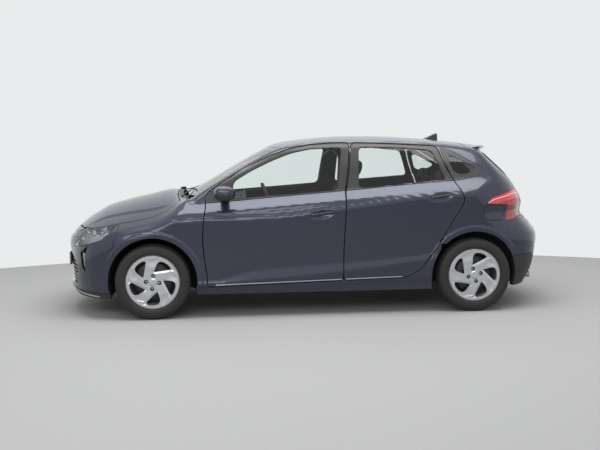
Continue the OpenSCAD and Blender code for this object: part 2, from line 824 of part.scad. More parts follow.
// Draws something with Z along the left steering axis, from its point at axle height
module on_kingpin() {
    translate([half_track - kingpin_offset, front_axle, tyre_radius])
        rotate([0, -kingpin_lean, 0])
            children();
}
ear_top = -84;
ear_bottom = -106;
ball_pin = 10;
tow_thread = 16;
tow_thread_depth = 40;
tow_way = 24;         // opening in the grille that the towing eye passes through
module on_tow_eye() {
    translate([-300, station(-1900), beam_low + 40]) rotate([90, 0, 0]) children();
}
module front_subframe() {
    beam = 50;
    wall = station(wall_y - sheet) - seat_gap;
    color("dimgray") {
        on_both_sides() {
            block([beam_in, station(-1900), beam_low], [beam_in + beam, wall, beam_low + 80]);
            for (y = [-1130, -1500])
                block([beam_in, station(y), leg_low],
                      [beam_in + beam, station(y) + 70, beam_low + 5]);
            block([beam_in - 1, front_axle - 30, leg_low],
                  [beam_in + beam, station(-1130) + 5, arm_level + 10]);
            block([beam_in + beam - 5, front_axle - 22, arm_level - 24],
                  [kingpin_foot() - 10, front_axle + 22, arm_level - 6]);
            on_kingpin() translate([0, 0, ear_bottom - 22])
                cylinder(h = 21.6, r = 20);
            on_kingpin() translate([0, 0, ear_bottom - 12])
                cylinder(h = ear_top - ear_bottom + 12, r = ball_pin);
        }
        block([-beam_in - 1, station(-1130), leg_low],
              [beam_in + 1, station(-1130) + 70, arm_level + 25]);
        block([-beam_in - 1, station(-1500), arm_level],
              [beam_in + 1, station(-1500) + 70, arm_level + 65]);
        difference() {
            block([-beam_in - 1, station(-1900), beam_low],
                  [beam_in + 1, station(-1900) + 45, beam_low + 80]);
            on_tow_eye() translate([0, 0, -tow_thread_depth])
                cylinder(h = tow_thread_depth + 1, r = tow_thread / 2);
        }
    }
}
module hub_spindle(from, to) {
    translate([from, 0, 0]) rotate([0, 90, 0]) cylinder(h = to - from, r = spindle_radius);
}
carrier = 62;
hub_face = half_track + 40;
module knuckle() {
    difference() {
        union() {
            translate([0, front_axle, tyre_radius]) {
                hub_spindle(half_track - 40, hub_face + 30);
                translate([half_track - 50, 0, 0])
                    rotate([0, 90, 0]) cylinder(h = 59, r = carrier);
                block([half_track - 72, -20, -30], [half_track - 40, 125, -4]);
                block([half_track - 145, -30, -20], [half_track - 45, 30, 40]);
                translate([half_track - 120, 0, 10]) cylinder(h = 270, r = 25);
            }
            on_kingpin() translate([0, 0, ear_bottom])
                cylinder(h = -ear_bottom - 45, r = 2 * ball_pin);
        }
        on_kingpin() translate([0, 0, ear_bottom - 40])
            cylinder(h = ear_top + 6 - (ear_bottom - 40), r = ball_pin + 0.4);
    }
}
module knuckle_left() { color("gray") knuckle(); }
module knuckle_right() { color("gray") mirror([1, 0, 0]) knuckle(); }
module rear_axle_beam() {
    pivot = station(860);
    color("dimgray") {
        on_both_sides() {
            block([560, pivot, 240], [620, rear_axle + 60, 300]);
            block([550, pivot - 40, 240], [630, pivot + 40, level(seat_floor - sheet) - seat_gap]);
            translate([0, rear_axle, tyre_radius]) {
                translate([600, 0, 0])
                    rotate([0, 90, 0]) cylinder(h = half_track + 9 - 600, r = carrier);
                hub_spindle(half_track - 40, hub_face + 30);
            }
        }
        block([-565, rear_axle - 215, 245], [565, rear_axle - 135, 295]);
    }
}
module rear_axle() { rear_axle_beam(); }
module engine_block() {
    color("darkgray")
        block([-330, station(-1640), 255 + seat_gap], [340, station(-1180), 800]);
}
module fuel_tank() {
    color("black")
        block([-500, station(660), 190], [180, station(940),
              level(seat_floor - sheet) - seat_gap]);
}
module exhaust() {
    pipe = 25;
    z = level(floor_top - sheet) - seat_gap - pipe - 2;
    path = [[300, station(-900), z], [300, station(540), z], [300, station(1180), z],
            [300, station(1500), z + 90]];
    color("silver") {
        for (i = [0:len(path) - 2])
            tube_between(path[i], path[i + 1], pipe);
        for (i = [1:len(path) - 2])
            translate(path[i]) sphere(r = pipe + 2, $fn = 32);
        translate([160, station(1560), z + 120])
            rotate([0, 90, 0]) cylinder(h = 380, r = 85);
        tube_between([480, station(1600), z + 110], [480, station(1790), z + 60], pipe);
    }
}

// ---- Wheels, drawn with their axle along X and their middle at the origin

rim_half = 90;
bead_gap = 0.3;
module about_x() {
    rotate([0, 90, 0]) children();
}
module tyre() {
    half = tyre_width / 2;
    bead = rim_diameter / 2;
    color("black")
        about_x()
            rotate_extrude()
                polygon([[bead + bead_gap, -rim_half + 4], [bead + 46, -half],
                         [tyre_radius - 28, -half + 5], [tyre_radius - 6, -half + 18],
                         [tyre_radius, -half + 30], [tyre_radius, half - 30],
                         [tyre_radius - 6, half - 18], [tyre_radius - 28, half - 5],
                         [bead + 46, half], [bead + 19, rim_half - 2],
                         [bead + 19, rim_half - 10 - bead_gap],
                         [bead + bead_gap, rim_half - 10 - bead_gap]]);
}
spokes = 5;
module wheel() {
    bead = rim_diameter / 2;
    barrel = bead - 11;
    disc = hub_face - half_track;
    color("silver")
        difference() {
            about_x()
                rotate_extrude()
                    polygon([[spindle_radius + 0.3, disc - 22], [70, disc - 22],
                             [76, disc], [barrel, disc + 8], [barrel, -rim_half],
                             [bead, -rim_half], [bead, rim_half - 10], [bead + 16, rim_half - 10],
                             [bead + 14, rim_half - 2], [barrel - 8, rim_half - 6],
                             [90, disc + 40], [60, disc + 38], [spindle_radius + 0.3, disc + 36]]);
            for (i = [0:spokes - 1])
                rotate([i * 360 / spokes, 0, 0])
                    rotate([0, 90, 0])
                        linear_extrude(far)
                            polygon([[100, -14], [165, -38], [165, 38], [100, 14]]);
        }
}
module at_wheel(front) {
    translate([half_track, axle_y(front), tyre_radius]) children();
}
module tyre_front_left() { at_wheel(true) tyre(); }
module wheel_front_left() { at_wheel(true) wheel(); }
module tyre_front_right() { mirror([1, 0, 0]) at_wheel(true) tyre(); }
module wheel_front_right() { mirror([1, 0, 0]) at_wheel(true) wheel(); }
module tyre_rear_left() { at_wheel(false) tyre(); }
module wheel_rear_left() { at_wheel(false) wheel(); }
module tyre_rear_right() { mirror([1, 0, 0]) at_wheel(false) tyre(); }
module wheel_rear_right() { mirror([1, 0, 0]) at_wheel(false) wheel(); }

// ---- Cabin

column_tilt = 24;
steering_centre = [seat_centre, station(-330), level(880)];
// Draws something with Z along the steering column, towards the driver
module on_column() {
    translate(steering_centre)
        rotate([column_tilt - 90, 0, 0])
            children();
}
module crosswise(half, outline) {
    translate([-half, 0, 0])
        rotate([90, 0, 90])
            linear_extrude(2 * half)
                polygon([for (p = outline) side_point(p)]);
}
module dashboard() {
    dash_half = breadth(770 - door_depth);
    color("dimgray") {
        crosswise(dash_half, [
            [wall_y + seat_gap, 640], [wall_y + seat_gap, 880], [-900, 925], [-700, 945],
            [-570, 935], [-505, 880], [-520, 760], [-620, 640]]);
        crosswise(95, [[-640, floor_top + seat_gap], [260, floor_top + seat_gap], [260, 440], [-380, 450],
                        [-530, 780], [-700, 780]]);
        on_column() translate([0, 0, -260]) cylinder(h = 215, r = 32);
    }
}
module steering_wheel() {
    rim = 14;
    ring = steering_wheel_d / 2 - rim;
    color("black")
        on_column() {
            rotate_extrude() translate([ring, 0]) circle(r = rim);
            translate([0, 0, -44.5]) cylinder(h = 50, r = 60);
            for (a = [0, 180, 270])
                rotate([0, 0, a]) block([40, -18, -12], [ring, 18, 2]);
        }
}
module front_seats() {
    lift = floor_top + seat_gap;
    color("dimgray")
        for (s = [-1, 1])
            translate([s * seat_centre, 0, 0]) {
                crosswise(seat_width / 2, [
                    [-330, 410], [-320, 330], [-270, 300], [-270, lift], [130, lift],
                    [150, 290], [250, 400], [430, 1040], [410, 1075], [330, 1070],
                    [165, 500], [-290, 470]]);
                crosswise(130, [[352, 1060], [425, 1060], [462, 1225], [440, 1245], [400, 1240]]);
            }
}
back_foot = [1100, boot_floor + seat_gap];
back_top = [1190, 1040];
function behind_seat(z) = back_foot[0] + (back_top[0] - back_foot[0]) * (z - back_foot[1])
                                        / (back_top[1] - back_foot[1]);
module rear_seat() {
    color("dimgray") {
        crosswise(rear_liner_in - 30, [
            [580, 470], [600, 380], [650, seat_floor + seat_gap], [945, seat_floor + seat_gap],
            [1002, boot_floor + seat_gap], back_foot, back_top, [1165, 1065], [1085, 1050],
            [985, 560], [620, 530]]);
        for (s = [-1, 1])
            translate([s * breadth(355), 0, 0])
                crosswise(125, [[1095, 1040], [1165, 1040], [1195, 1150], [1120, 1160]]);
    }
}
module parcel_shelf() {
    shelf = [985, 1000];
    color("dimgray")
        crosswise(breadth(560), [
            [behind_seat(shelf[0]) + seat_gap, shelf[0]],
            [behind_seat(shelf[1]) + seat_gap, shelf[1]],
            [1600, shelf[1]], [1600, shelf[0]]]);
}

floor_pan();
body_sides();
roof_panel();
front_wings();
front_bumper();
grille();
rear_bumper();
windscreen();
quarter_windows();
headlamps();
tail_lamps();
arch_liners();
scuttle_panel();
front_subframe();
rear_axle();
engine_block();
exhaust();
fuel_tank();
dashboard();
front_seats();
rear_seat();
parcel_shelf();
roof_aerial();
steering_wheel();
bonnet();
tailgate();
tailgate_window();
fuel_flap();
front_door_left();
front_window_left();
mirror_left();
front_door_right();
front_window_right();
mirror_right();
rear_door_left();
rear_window_left();
rear_door_right();
rear_window_right();
knuckle_left();
knuckle_right();
tyre_front_left();
wheel_front_left();
tyre_front_right();
wheel_front_right();
tyre_rear_left();
wheel_rear_left();
tyre_rear_right();
wheel_rear_right();
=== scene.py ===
# %% [markdown]
# # A five-door hatchback
#
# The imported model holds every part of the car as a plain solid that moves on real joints. This
# script gives those parts their looks. Each piece is made in mesh code, finished with shader
# nodes, and then rides on the body that carries it, so that doors, lids and wheels still move.

# %% Load the fixed frame
import math

import bmesh
import bpy
import numpy as np
from mathutils import Matrix, Vector


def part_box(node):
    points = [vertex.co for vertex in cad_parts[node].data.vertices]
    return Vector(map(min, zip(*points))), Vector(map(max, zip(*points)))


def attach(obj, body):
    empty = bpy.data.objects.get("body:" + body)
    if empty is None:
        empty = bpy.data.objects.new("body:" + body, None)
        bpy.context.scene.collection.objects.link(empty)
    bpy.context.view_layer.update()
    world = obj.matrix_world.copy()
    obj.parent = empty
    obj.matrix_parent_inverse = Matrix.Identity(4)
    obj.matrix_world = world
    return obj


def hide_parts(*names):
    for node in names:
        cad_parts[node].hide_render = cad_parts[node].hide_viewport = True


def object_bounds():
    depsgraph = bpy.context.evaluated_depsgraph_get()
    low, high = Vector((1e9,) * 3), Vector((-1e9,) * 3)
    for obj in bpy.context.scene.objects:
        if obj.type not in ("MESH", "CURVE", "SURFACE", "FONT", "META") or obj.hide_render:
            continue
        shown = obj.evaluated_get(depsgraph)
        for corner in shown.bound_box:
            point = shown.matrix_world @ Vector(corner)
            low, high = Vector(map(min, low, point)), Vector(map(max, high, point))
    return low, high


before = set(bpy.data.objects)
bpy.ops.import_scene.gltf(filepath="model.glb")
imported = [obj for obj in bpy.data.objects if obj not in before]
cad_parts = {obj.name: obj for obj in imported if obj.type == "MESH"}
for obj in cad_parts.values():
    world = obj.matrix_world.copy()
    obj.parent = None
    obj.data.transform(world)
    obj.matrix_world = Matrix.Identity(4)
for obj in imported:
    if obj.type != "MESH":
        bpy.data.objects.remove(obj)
cad_box = [list(corner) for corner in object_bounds()]
MM = 0.001


def middle(node):
    low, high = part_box(node)
    return (Vector(low) + Vector(high)) / 2 / MM


front_wheel = middle("wheel_front_left")
rear_wheel = middle("wheel_rear_left")
MID = (front_wheel.y + rear_wheel.y) / 2
FRONT_AXLE = front_wheel.y - MID
REAR_AXLE = rear_wheel.y - MID
AXLE_Z = middle("tyre_front_left").z
HALF_TRACK = middle("tyre_front_left").x
print("axles", round(FRONT_AXLE), round(REAR_AXLE), "half track", round(HALF_TRACK, 1))

# %% [markdown]
# ## Camera first
#
# The car is seen from its left side, from a little ahead of its middle and slightly above the
# bonnet. A camera set early lets every later piece be looked at from the same place.

# %% Camera
camera_data = bpy.data.cameras.new("camera")
camera_data.sensor_width = 36
camera_data.lens = 51.9
camera = bpy.data.objects.new("camera", camera_data)
bpy.context.scene.collection.objects.link(camera)
bpy.context.scene.camera = camera
CAMERA_PLACE = Vector((7.64, -0.675, 1.35))
CAMERA_YAW = math.radians(4.84)
CAMERA_DIP = math.radians(5.2)
CAMERA_ROLL = math.radians(-0.62)
ahead = Vector((-math.cos(CAMERA_YAW) * math.cos(CAMERA_DIP), math.sin(CAMERA_YAW) *
    math.cos(CAMERA_DIP), -math.sin(CAMERA_DIP)))
level_right = ahead.cross(Vector((0, 0, 1))).normalized()
level_up = level_right.cross(ahead)
right = math.cos(CAMERA_ROLL) * level_right + math.sin(CAMERA_ROLL) * level_up
up = math.cos(CAMERA_ROLL) * level_up - math.sin(CAMERA_ROLL) * level_right
turn = Matrix((right, up, -ahead)).transposed().to_4x4()
camera.matrix_world = Matrix.Translation(CAMERA_PLACE) @ turn
print("camera at", tuple(CAMERA_PLACE))

# %% [markdown]
# ## The lines of the body
#
# A car's body is drawn with a few long lines: its outline from above, the sill, the creases along
# the doors, the belt under the windows and the roof rail. Here each line is a short list of points
# that a smooth curve runs through. Lengths are in millimetres from the middle of the wheelbase.

# %% Smooth curve through points
def follow(line, t):
    """Value at t of the smooth curve through the points of a line."""
    line = np.asarray(line, float)
    at, value = line[:, 0], line[:, 1]
    before = np.maximum(np.arange(len(at)) - 1, 0)
    after = np.minimum(np.arange(len(at)) + 1, len(at) - 1)
    slope = (value[after] - value[before]) / (at[after] - at[before])
    t = np.asarray(t, float)
    i = np.clip(np.searchsorted(at, t, side="right") - 1, 0, len(at) - 2)
    gap = at[i + 1] - at[i]
    u = np.clip((t - at[i]) / gap, 0, 1)
    v = 1 - u
    start = value[i] * (1 + 2 * u) * v * v + gap * slope[i] * u * v * v
    end = value[i + 1] * u * u * (3 - 2 * u) - gap * slope[i + 1] * u * u * v
    return start + end


def ease(low, high, t):
    """0 below low, 1 above high, smooth between them."""
    u = np.clip((t - low) / (high - low), 0, 1)
    return u * u * (3 - 2 * u)


# %% Lines along the body
PLAN = [(-2100, 800), (-1700, 862), (-1290, 882), (-400, 886), (400, 888), (1290, 882),
    (1650, 850), (1850, 805), (2050, 730)]
SILL = [(-2100, 235), (-900, 245), (0, 266), (780, 290), (2050, 320)]
LOW_CREASE = [(-2100, 300), (-830, 262), (-500, 288), (-132, 311), (227, 351), (590, 399),
    (873, 445), (1200, 480), (2050, 520)]
HIGH_CREASE = [(-2100, 360), (-826, 300), (-527, 368), (-131, 407), (228, 423), (590, 441),
    (873, 463), (1200, 500), (2050, 545)]
FLANK = [(-2100, 580), (-800, 590), (0, 640), (900, 700), (2050, 740)]
RIDGE = [(-2100, 745), (-1450, 766), (-870, 792), (-280, 806), (230, 866), (920, 944), (2050, 985)]
SHOULDER = [(-2100, 800), (-855, 840), (0, 900), (1040, 984), (2050, 1022)]
BELT = [(-2100, 850), (-970, 902), (0, 976), (1060, 1058), (2050, 1090)]
RAIL = [(-2100, 1300), (-970, 1330), (200, 1390), (1300, 1345), (2050, 1300)]
TOP = [(-2100, 640), (-2040, 668), (-1960, 712), (-1888, 765), (-1800, 815), (-1714, 856),
    (-1540, 907), (-1366, 946), (-1235, 977), (-1150, 993), (-1100, 975), (-1030, 967),
    (-984, 990), (-795, 1098), (-580, 1221), (-450, 1293), (-321, 1358), (-234, 1386), (-45, 1413),
    (133, 1428), (311, 1435), (490, 1435), (669, 1430), (849, 1419), (1030, 1405), (1212, 1386),
    (1395, 1363), (1580, 1338), (2050, 1280)]
CROWN = [(-2100, 30), (-1900, 60), (-1700, 105), (-1300, 132), (-1120, 105), (-1000, 26),
    (-600, 18), (-200, 50), (400, 72), (1200, 66), (2050, 50)]
SWEEP = [(-2100, 150), (-1800, 120), (-1300, 60), (-1050, 50), (-500, 45), (0, 0), (1100, 0),
    (1500, -90), (2050, -120)]
NOSE = [(100, -1960), (165, -2010), (240, -2038), (450, -2045), (600, -2035), (680, -2000),
    (760, -1930), (850, -1800), (1500, -1200)]
TAIL = [(100, 1840), (200, 1900), (330, 1965), (480, 1990), (600, 1995), (690, 1935), (780, 1858),
    (880, 1866), (980, 1815), (1080, 1748), (1235, 1580), (1330, 1475), (1400, 1400), (1500, 1300)]
NOSE_SWEEP = [(0, 0), (250, 22), (500, 95), (640, 165), (740, 250), (800, 330), (850, 430),
    (1000, 800)]
TAIL_SWEEP = [(0, 0), (250, 18), (450, 62), (600, 120), (700, 185), (770, 270), (830, 400),
    (1000, 800)]
ARCH_R = 350
ARCHES = [(FRONT_AXLE, ARCH_R), (REAR_AXLE, ARCH_R + 4)]
HANDLES = [(50, 812), (1010, 935)]
HANDLE_RISE = 0.12

# %% [markdown]
# ## One surface for the whole body
#
# The sides, the top, the nose and the tail are four sheets. Taking the largest of their signed
# distances gives the closed body, and a smooth maximum rounds the edges where they meet, as
# pressed steel does. Every panel is later laid on this one surface, so that neighbours line up.

# %% The four sheets
SIDE_TAPS = [(-22, 1), (-11, 2), (0, 3), (11, 2), (22, 1)]
ARCH_LIP = 9
CUP_LENGTH, CUP_HEIGHT, CUP_DEPTH = 112, 40, 15
BONNET_FOLD = 9
TOP_SLOPE, END_SLOPE = 0.9, 0.8
ROOF_BLEND, BONNET_BLEND, NOSE_BLEND, TAIL_BLEND = 44, 30, 70, 36


def side_section(y):
    """Heights and half widths of the side's section at y, from the ground up."""
    w = follow(PLAN, y)
    sill, rail, belt = follow(SILL, y), follow(RAIL, y), follow(BELT, y)
    ridge, shoulder = follow(RIDGE, y), follow(SHOULDER, y)
    heights = [0 * w + 60, sill - 60, sill, follow(LOW_CREASE, y), follow(HIGH_CREASE, y),
        follow(FLANK, y), ridge, ridge + 14, shoulder, belt, (belt + rail) / 2, rail, rail + 60,
        rail + 300]
    inset = [75, 60, 36, 14, 27, 17, 1, 19, 26, 100, 174, 268, 330, 550]
    return heights, [w - d for d in inset]


def side_x(y, z):
    """Half width of the body's side."""
    heights, widths = side_section(y)
    total = 0
    for shift, weight in SIDE_TAPS:
        h = z + shift
        x = widths[0] + 0 * h
        for i in range(len(heights) - 1):
            u = (h - heights[i]) / np.maximum(heights[i + 1] - heights[i], 4)
            part = widths[i] + (widths[i + 1] - widths[i]) * np.clip(u, 0, 1)
            x = np.where(u > 0, part, x)
        total = total + x * weight
    x = total / sum(weight for _, weight in SIDE_TAPS)
    for axle, radius in ARCHES:
        r = np.hypot(y - axle, z - AXLE_Z)
        fade_out = 1 - ease(radius + 34, radius + 52, r)
        lip = ARCH_LIP * fade_out * ease(radius - 60, radius - 10, r)
        x = x + lip * ease(190, 300, z)
    for place, height in HANDLES:
        q = np.hypot((y - place) / CUP_LENGTH, (z - height - HANDLE_RISE * (y - place)) /
            CUP_HEIGHT)
        x = x - CUP_DEPTH * np.clip(1 - q * q, 0, 1) ** 1.5
    return x


def top_z(x, y):
    """Height of the bonnet, windscreen and roof."""
    u = (x / 700) ** 2
    z = follow(TOP, y - follow(SWEEP, y) * u) - follow(CROWN, y) * u
    rise = ease(-1930, -1700, y) * (1 - ease(-1250, -1130, y))
    fold = 470 + 0.22 * (y + 1900)
    return z + BONNET_FOLD * rise * (ease(fold + 22, fold - 22, np.abs(x)) - 0.35)


def nose_y(x, z):
    return follow(NOSE, z) + follow(NOSE_SWEEP, x)


def tail_y(x, z):
    return follow(TAIL, z) - follow(TAIL_SWEEP, x)


def smooth_max(a, b, width):
    h = np.clip(1 - np.abs(a - b) / width, 0, 1)
    return np.maximum(a, b) + width * h * h / 4


def outside(p):
    """Rough distance outside the body, negative inside."""
    x, y, z = np.abs(p[:, 0]), p[:, 1], p[:, 2]
    side = x - side_x(y, z)
    over = (z - top_z(x, y)) * TOP_SLOPE
    shape = smooth_max(side, over, ROOF_BLEND + BONNET_BLEND * ease(-900, -1300, y))
    front = (nose_y(x, z) - y) * END_SLOPE
    shape = smooth_max(shape, front, NOSE_BLEND)
    back = (y - tail_y(x, z)) * END_SLOPE
    return smooth_max(shape, back, TAIL_BLEND)


def facing(p):
    """Outward unit normals of the body's surface."""
    step = 1.5
    n = np.stack([outside(p + step * e) - outside(p - step * e) for e in np.eye(3)], 1)
    return n / np.linalg.norm(n, axis=1, keepdims=True)


def land(start, way, depth=0.0):
    """Where rays from start, along way, reach the depth below the body's surface."""
    t = np.zeros(len(start))
    for _ in range(5):
        t = t + np.clip(outside(start + way * t[:, None]) + depth, -400, 400) * 0.9
    for _ in range(7):
        f = outside(start + way * t[:, None]) + depth
        slope = (outside(start + way * (t[:, None] + 1)) + depth) - f
        slope = np.where(np.abs(slope) < 0.12, -0.12, slope)
        t = t - np.clip(f / slope, -60, 60)
    return start + way * t[:, None]


print("roof crest", round(float(top_z(0, 400))), "belt half width", round(float(side_x(0, 976))))
# %% [markdown]
# ## Rays that reach the whole body
#
# A panel is a grid of rays that land on the body. For the sides, wings and bumpers the rays run
# round the car on a track with rounded corners, so that one grid can turn a corner. The bonnet
# and roof are reached from above, and the tailgate by a fan of rays in the car's length and
# height.

# %% Tracks of rays
FAN_X = 300
FAN_FRONT = -1400
FAN_REAR = 1300
FAN_TURN = 880
FAR = 1600
SIDE_START = FAN_X + FAN_TURN
SIDE_END = SIDE_START + FAN_REAR - FAN_FRONT
TRACK_END = SIDE_END + FAN_TURN + FAN_X


def along(y):
    """Place on the track of a station on the straight of the side."""
    return SIDE_START + y - FAN_FRONT


def round_car(s, z):
    """Rays from round the car: s is 0 at the middle of the nose, and positive on the left."""
    side, s = np.sign(s) + (s == 0), np.abs(s)
    front = np.clip((s - FAN_X) / FAN_TURN, 0, 1) * math.pi / 2
    back = np.clip((s - SIDE_END) / FAN_TURN, 0, 1) * math.pi / 2
    angle = front + back
    x = np.clip(s, 0, FAN_X) - np.clip(s - SIDE_END - FAN_TURN, 0, FAN_X)
    y = FAN_FRONT + np.clip(s - SIDE_START, 0, FAN_REAR - FAN_FRONT)
    out = np.stack([np.sin(angle), -np.cos(angle), 0 * z], 1)
    start = np.stack([x, y, z], 1) + FAR * out
    mirror = np.stack([side, 1 + 0 * side, 1 + 0 * side], 1)
    return start * mirror, -out * mirror


def from_above(x, y):
    way = np.zeros((len(x), 3)) + [0, 0, -1]
    return np.stack([x, y, 0 * x + 1900], 1), way


TAIL_HUB = (1080, 820)


def from_behind(x, angle):
    """Rays towards a line across the car, angle in degrees above the horizon behind."""
    a = np.radians(angle)
    out = np.stack([0 * x, np.cos(a), np.sin(a)], 1)
    return np.stack([x, 0 * x + TAIL_HUB[0], 0 * x + TAIL_HUB[1]], 1) + FAR * out, -out


def steps(low, high, size):
    return np.linspace(low, high, max(int(abs(high - low) / size), 2) + 1)


def circle(count):
    """Angles of evenly spaced points round a circle."""
    return np.arange(count) * 2 * math.pi / count


def at(surface, x, other):
    """One value of nose_y, tail_y or top_z. Both halves of the car are alike."""
    return float(surface(np.array([abs(float(x))]), np.array([float(other)]))[0])


# %% [markdown]
# ## Outlines and trimming
#
# Panels are cut along outlines drawn from the side, from the front or from above. An outline
# gives a signed distance, positive inside. Triangles that cross its zero are cut there, so that
# an edge is as smooth as the outline and doesn't follow the grid.

# %% Outlines
def soften(outline, radius=12, rounds=3):
    """Cuts the corners of a closed outline back by up to radius, more finely each round."""
    points = np.asarray(outline, float)
    for k in range(rounds):
        after = np.roll(points, -1, 0)
        reach = np.linalg.norm(after - points, axis=1, keepdims=True)
        cut = np.minimum(0.28, radius / 2 ** k / np.maximum(reach, 1e-6))
        points = np.stack([points + (after - points) * cut, after - (after - points) * cut],
            1).reshape(-1, 2)
    return points


VIEWS = {"side": (1, 2), "end": (0, 2), "plan": (0, 1)}


def within(outline, view="side"):
    """Function of points: signed distance inside an outline."""
    a = np.asarray(outline, float)
    b = np.roll(a, -1, 0)
    edge = b - a
    size = np.maximum((edge ** 2).sum(1), 1e-9)

    def distance(p):
        q = p[:, VIEWS[view]]
        if view != "side":
            q = np.stack([np.abs(q[:, 0]), q[:, 1]], 1)
        best = np.full(len(q), 1e18)
        odd = np.zeros(len(q), bool)
        for k in range(len(a)):
            d = q - a[k]
            u = np.clip((d @ edge[k]) / size[k], 0, 1)
            best = np.minimum(best, ((d - u[:, None] * edge[k]) ** 2).sum(1))
            crosses = (a[k, 1] > q[:, 1]) != (b[k, 1] > q[:, 1])
            if edge[k, 1]:
                odd ^= crosses & (d[:, 0] < edge[k, 0] * d[:, 1] / edge[k, 1])
        return np.where(odd, 1, -1) * np.sqrt(best)

    return distance


def beyond(keep, gap=0.0):
    """The part outside another, with a gap."""
    return lambda p: -keep(p) - gap


def above(line, gap=0.0):
    """Above a height, or above a line along the car."""
    if np.isscalar(line):
        return lambda p: p[:, 2] - line - gap
    return lambda p: p[:, 2] - follow(line, p[:, 1]) - gap


def below(line, gap=0.0):
    return lambda p: -above(line)(p) - gap


def past(place, axis=1, sign=1):
    return lambda p: sign * (p[:, axis] - place)


def arches(p):
    """Outside the openings over the wheels."""
    return np.minimum.reduce([np.hypot(p[:, 1] - axle, p[:, 2] - AXLE_Z) - radius for axle,
        radius in ARCHES])


def either(*keeps):
    return lambda p: np.maximum.reduce([k(p) for k in keeps])


def all_of(*keeps):
    return lambda p: np.minimum.reduce([k(p) for k in keeps])


# %% Cutting triangles
def clip(points, faces, keep):
    """Keeps the part of a triangle mesh where keep is positive."""
    d = keep(points)
    d = np.where(np.abs(d) < 0.05, np.where(d < 0, -0.05, 0.05), d)
    inside = d[faces] > 0
    count = inside.sum(1)
    result = [faces[count == 3]]
    fresh = []

    def crossing(a, b):
        low, high = np.minimum(a, b), np.maximum(a, b)
        fresh.append(np.stack([low, high], 1))
        return (len(fresh) - 1, slice(None))

    cut = []
    for wanted in (1, 2):
        chosen = count == wanted
        tri, flags = faces[chosen], inside[chosen]
        lone = np.argmax(flags == (wanted == 1), axis=1)
        row = np.arange(len(tri))
        a, b, c = (tri[row, (lone + k) % 3] for k in range(3))
        cut.append((wanted, a, b, c, crossing(a, b)[0], crossing(a, c)[0]))
    edges = np.concatenate(fresh)
    unique, where = np.unique(edges, axis=0, return_inverse=True)
    where = where.reshape(-1)
    spans = np.cumsum([0] + [len(f) for f in fresh])
    numbers = [where[spans[k]:spans[k + 1]] + len(points) for k in range(len(fresh))]
    low, high = unique[:, 0], unique[:, 1]
    share = (d[low] / (d[low] - d[high]))[:, None]
    points = np.concatenate([points, points[low] + (points[high] - points[low]) * share])
    for wanted, a, b, c, ab, ac in cut:
        ab, ac = numbers[ab], numbers[ac]
        if wanted == 1:
            result.append(np.stack([a, ab, ac], 1))
        else:
            result.append(np.stack([ab, b, c], 1))
            result.append(np.stack([ab, c, ac], 1))
    return compact(points, np.concatenate(result))


def compact(points, faces):
    used, faces = np.unique(faces, return_inverse=True)
    return points[used], faces.reshape(-1, 3)


def rim_edges(faces):
    """Edges with one triangle, in that triangle's direction."""
    edges = np.concatenate([faces[:, [0, 1]], faces[:, [1, 2]], faces[:, [2, 0]]])
    key = np.sort(edges, 1)
    _, where, count = np.unique(key, axis=0, return_inverse=True, return_counts=True)
    return edges[count[where.reshape(-1)] == 1]


# %% [markdown]
# ## Pressed panels
#
# A pressed panel is a thin skin whose edge is rolled over and turned in. The roll catches the
# light beside every gap, which is what makes the gaps of a real car look sharp. The skin keeps
# the exact normals of the body's surface, so that reflections run on from one panel to the next.

# %% Skins
ROLL_TURNS = (30, 60, 90)


class Shape:
    """A mesh in the making: points in millimetres, faces and normals."""

    def __init__(self, points, faces, normals):
        self.points = np.asarray(points, float)
        self.faces = [list(f) for f in faces]
        self.normals = np.asarray(normals, float)

    def reshaped(self, points):
        return Shape(points, self.faces, self.normals)

    def mirrored(self):
        flip = np.array([-1, 1, 1])
        return Shape(self.points * flip, [f[::-1] for f in self.faces], self.normals * flip)

    def joined(self, *others):
        points, faces, normals = [self.points], list(self.faces), [self.normals]
        count = len(self.points)
        for other in others:
            faces += [[i + count for i in f] for f in other.faces]
            points.append(other.points)
            normals.append(other.normals)
            count += len(other.points)
        return Shape(np.concatenate(points), faces, np.concatenate(normals))


def rolled(points, faces, normals, roll=2.5, flange=9.0, inward=None):
    """Rolls the free edges of a sheet over, then turns them in by the depth of the flange."""
    shape_points, shape_normals, shape_faces = [points], [normals], [list(f) for f in faces]
    edges = rim_edges(faces)
    rim = np.unique(edges)
    number = np.zeros(len(points), int)
    number[rim] = np.arange(len(rim))
    run = points[edges[:, 1]] - points[edges[:, 0]]
    out = np.cross(run, normals[edges[:, 0]])
    out /= np.maximum(np.linalg.norm(out, axis=1, keepdims=True), 1e-9)
    total = np.zeros((len(rim), 3))
    np.add.at(total, number[edges[:, 0]], out)
    np.add.at(total, number[edges[:, 1]], out)
    out = total / np.maximum(np.linalg.norm(total, axis=1, keepdims=True), 1e-9)
    n = normals[rim]
    down = -n if inward is None else inward(points[rim])
    rings = [(points[rim] + roll * (math.sin(t) * out - (1 - math.cos(t)) * n),
        math.cos(t) * n + math.sin(t) * out) for t in np.radians(ROLL_TURNS)]
    if flange:
        rings.append((rings[-1][0] + flange * down, out))
    previous, count = rim, len(points)
    start, end = number[edges[:, 0]], number[edges[:, 1]]
    for ring_points, ring_normals in rings:
        current = count + np.arange(len(rim))
        shape_faces += np.stack([previous[end], previous[start], current[start], current[end]],
            1).tolist()
        shape_points.append(ring_points)
        shape_normals.append(ring_normals)
        previous = current
        count += len(rim)
    return Shape(np.concatenate(shape_points), shape_faces, np.concatenate(shape_normals))


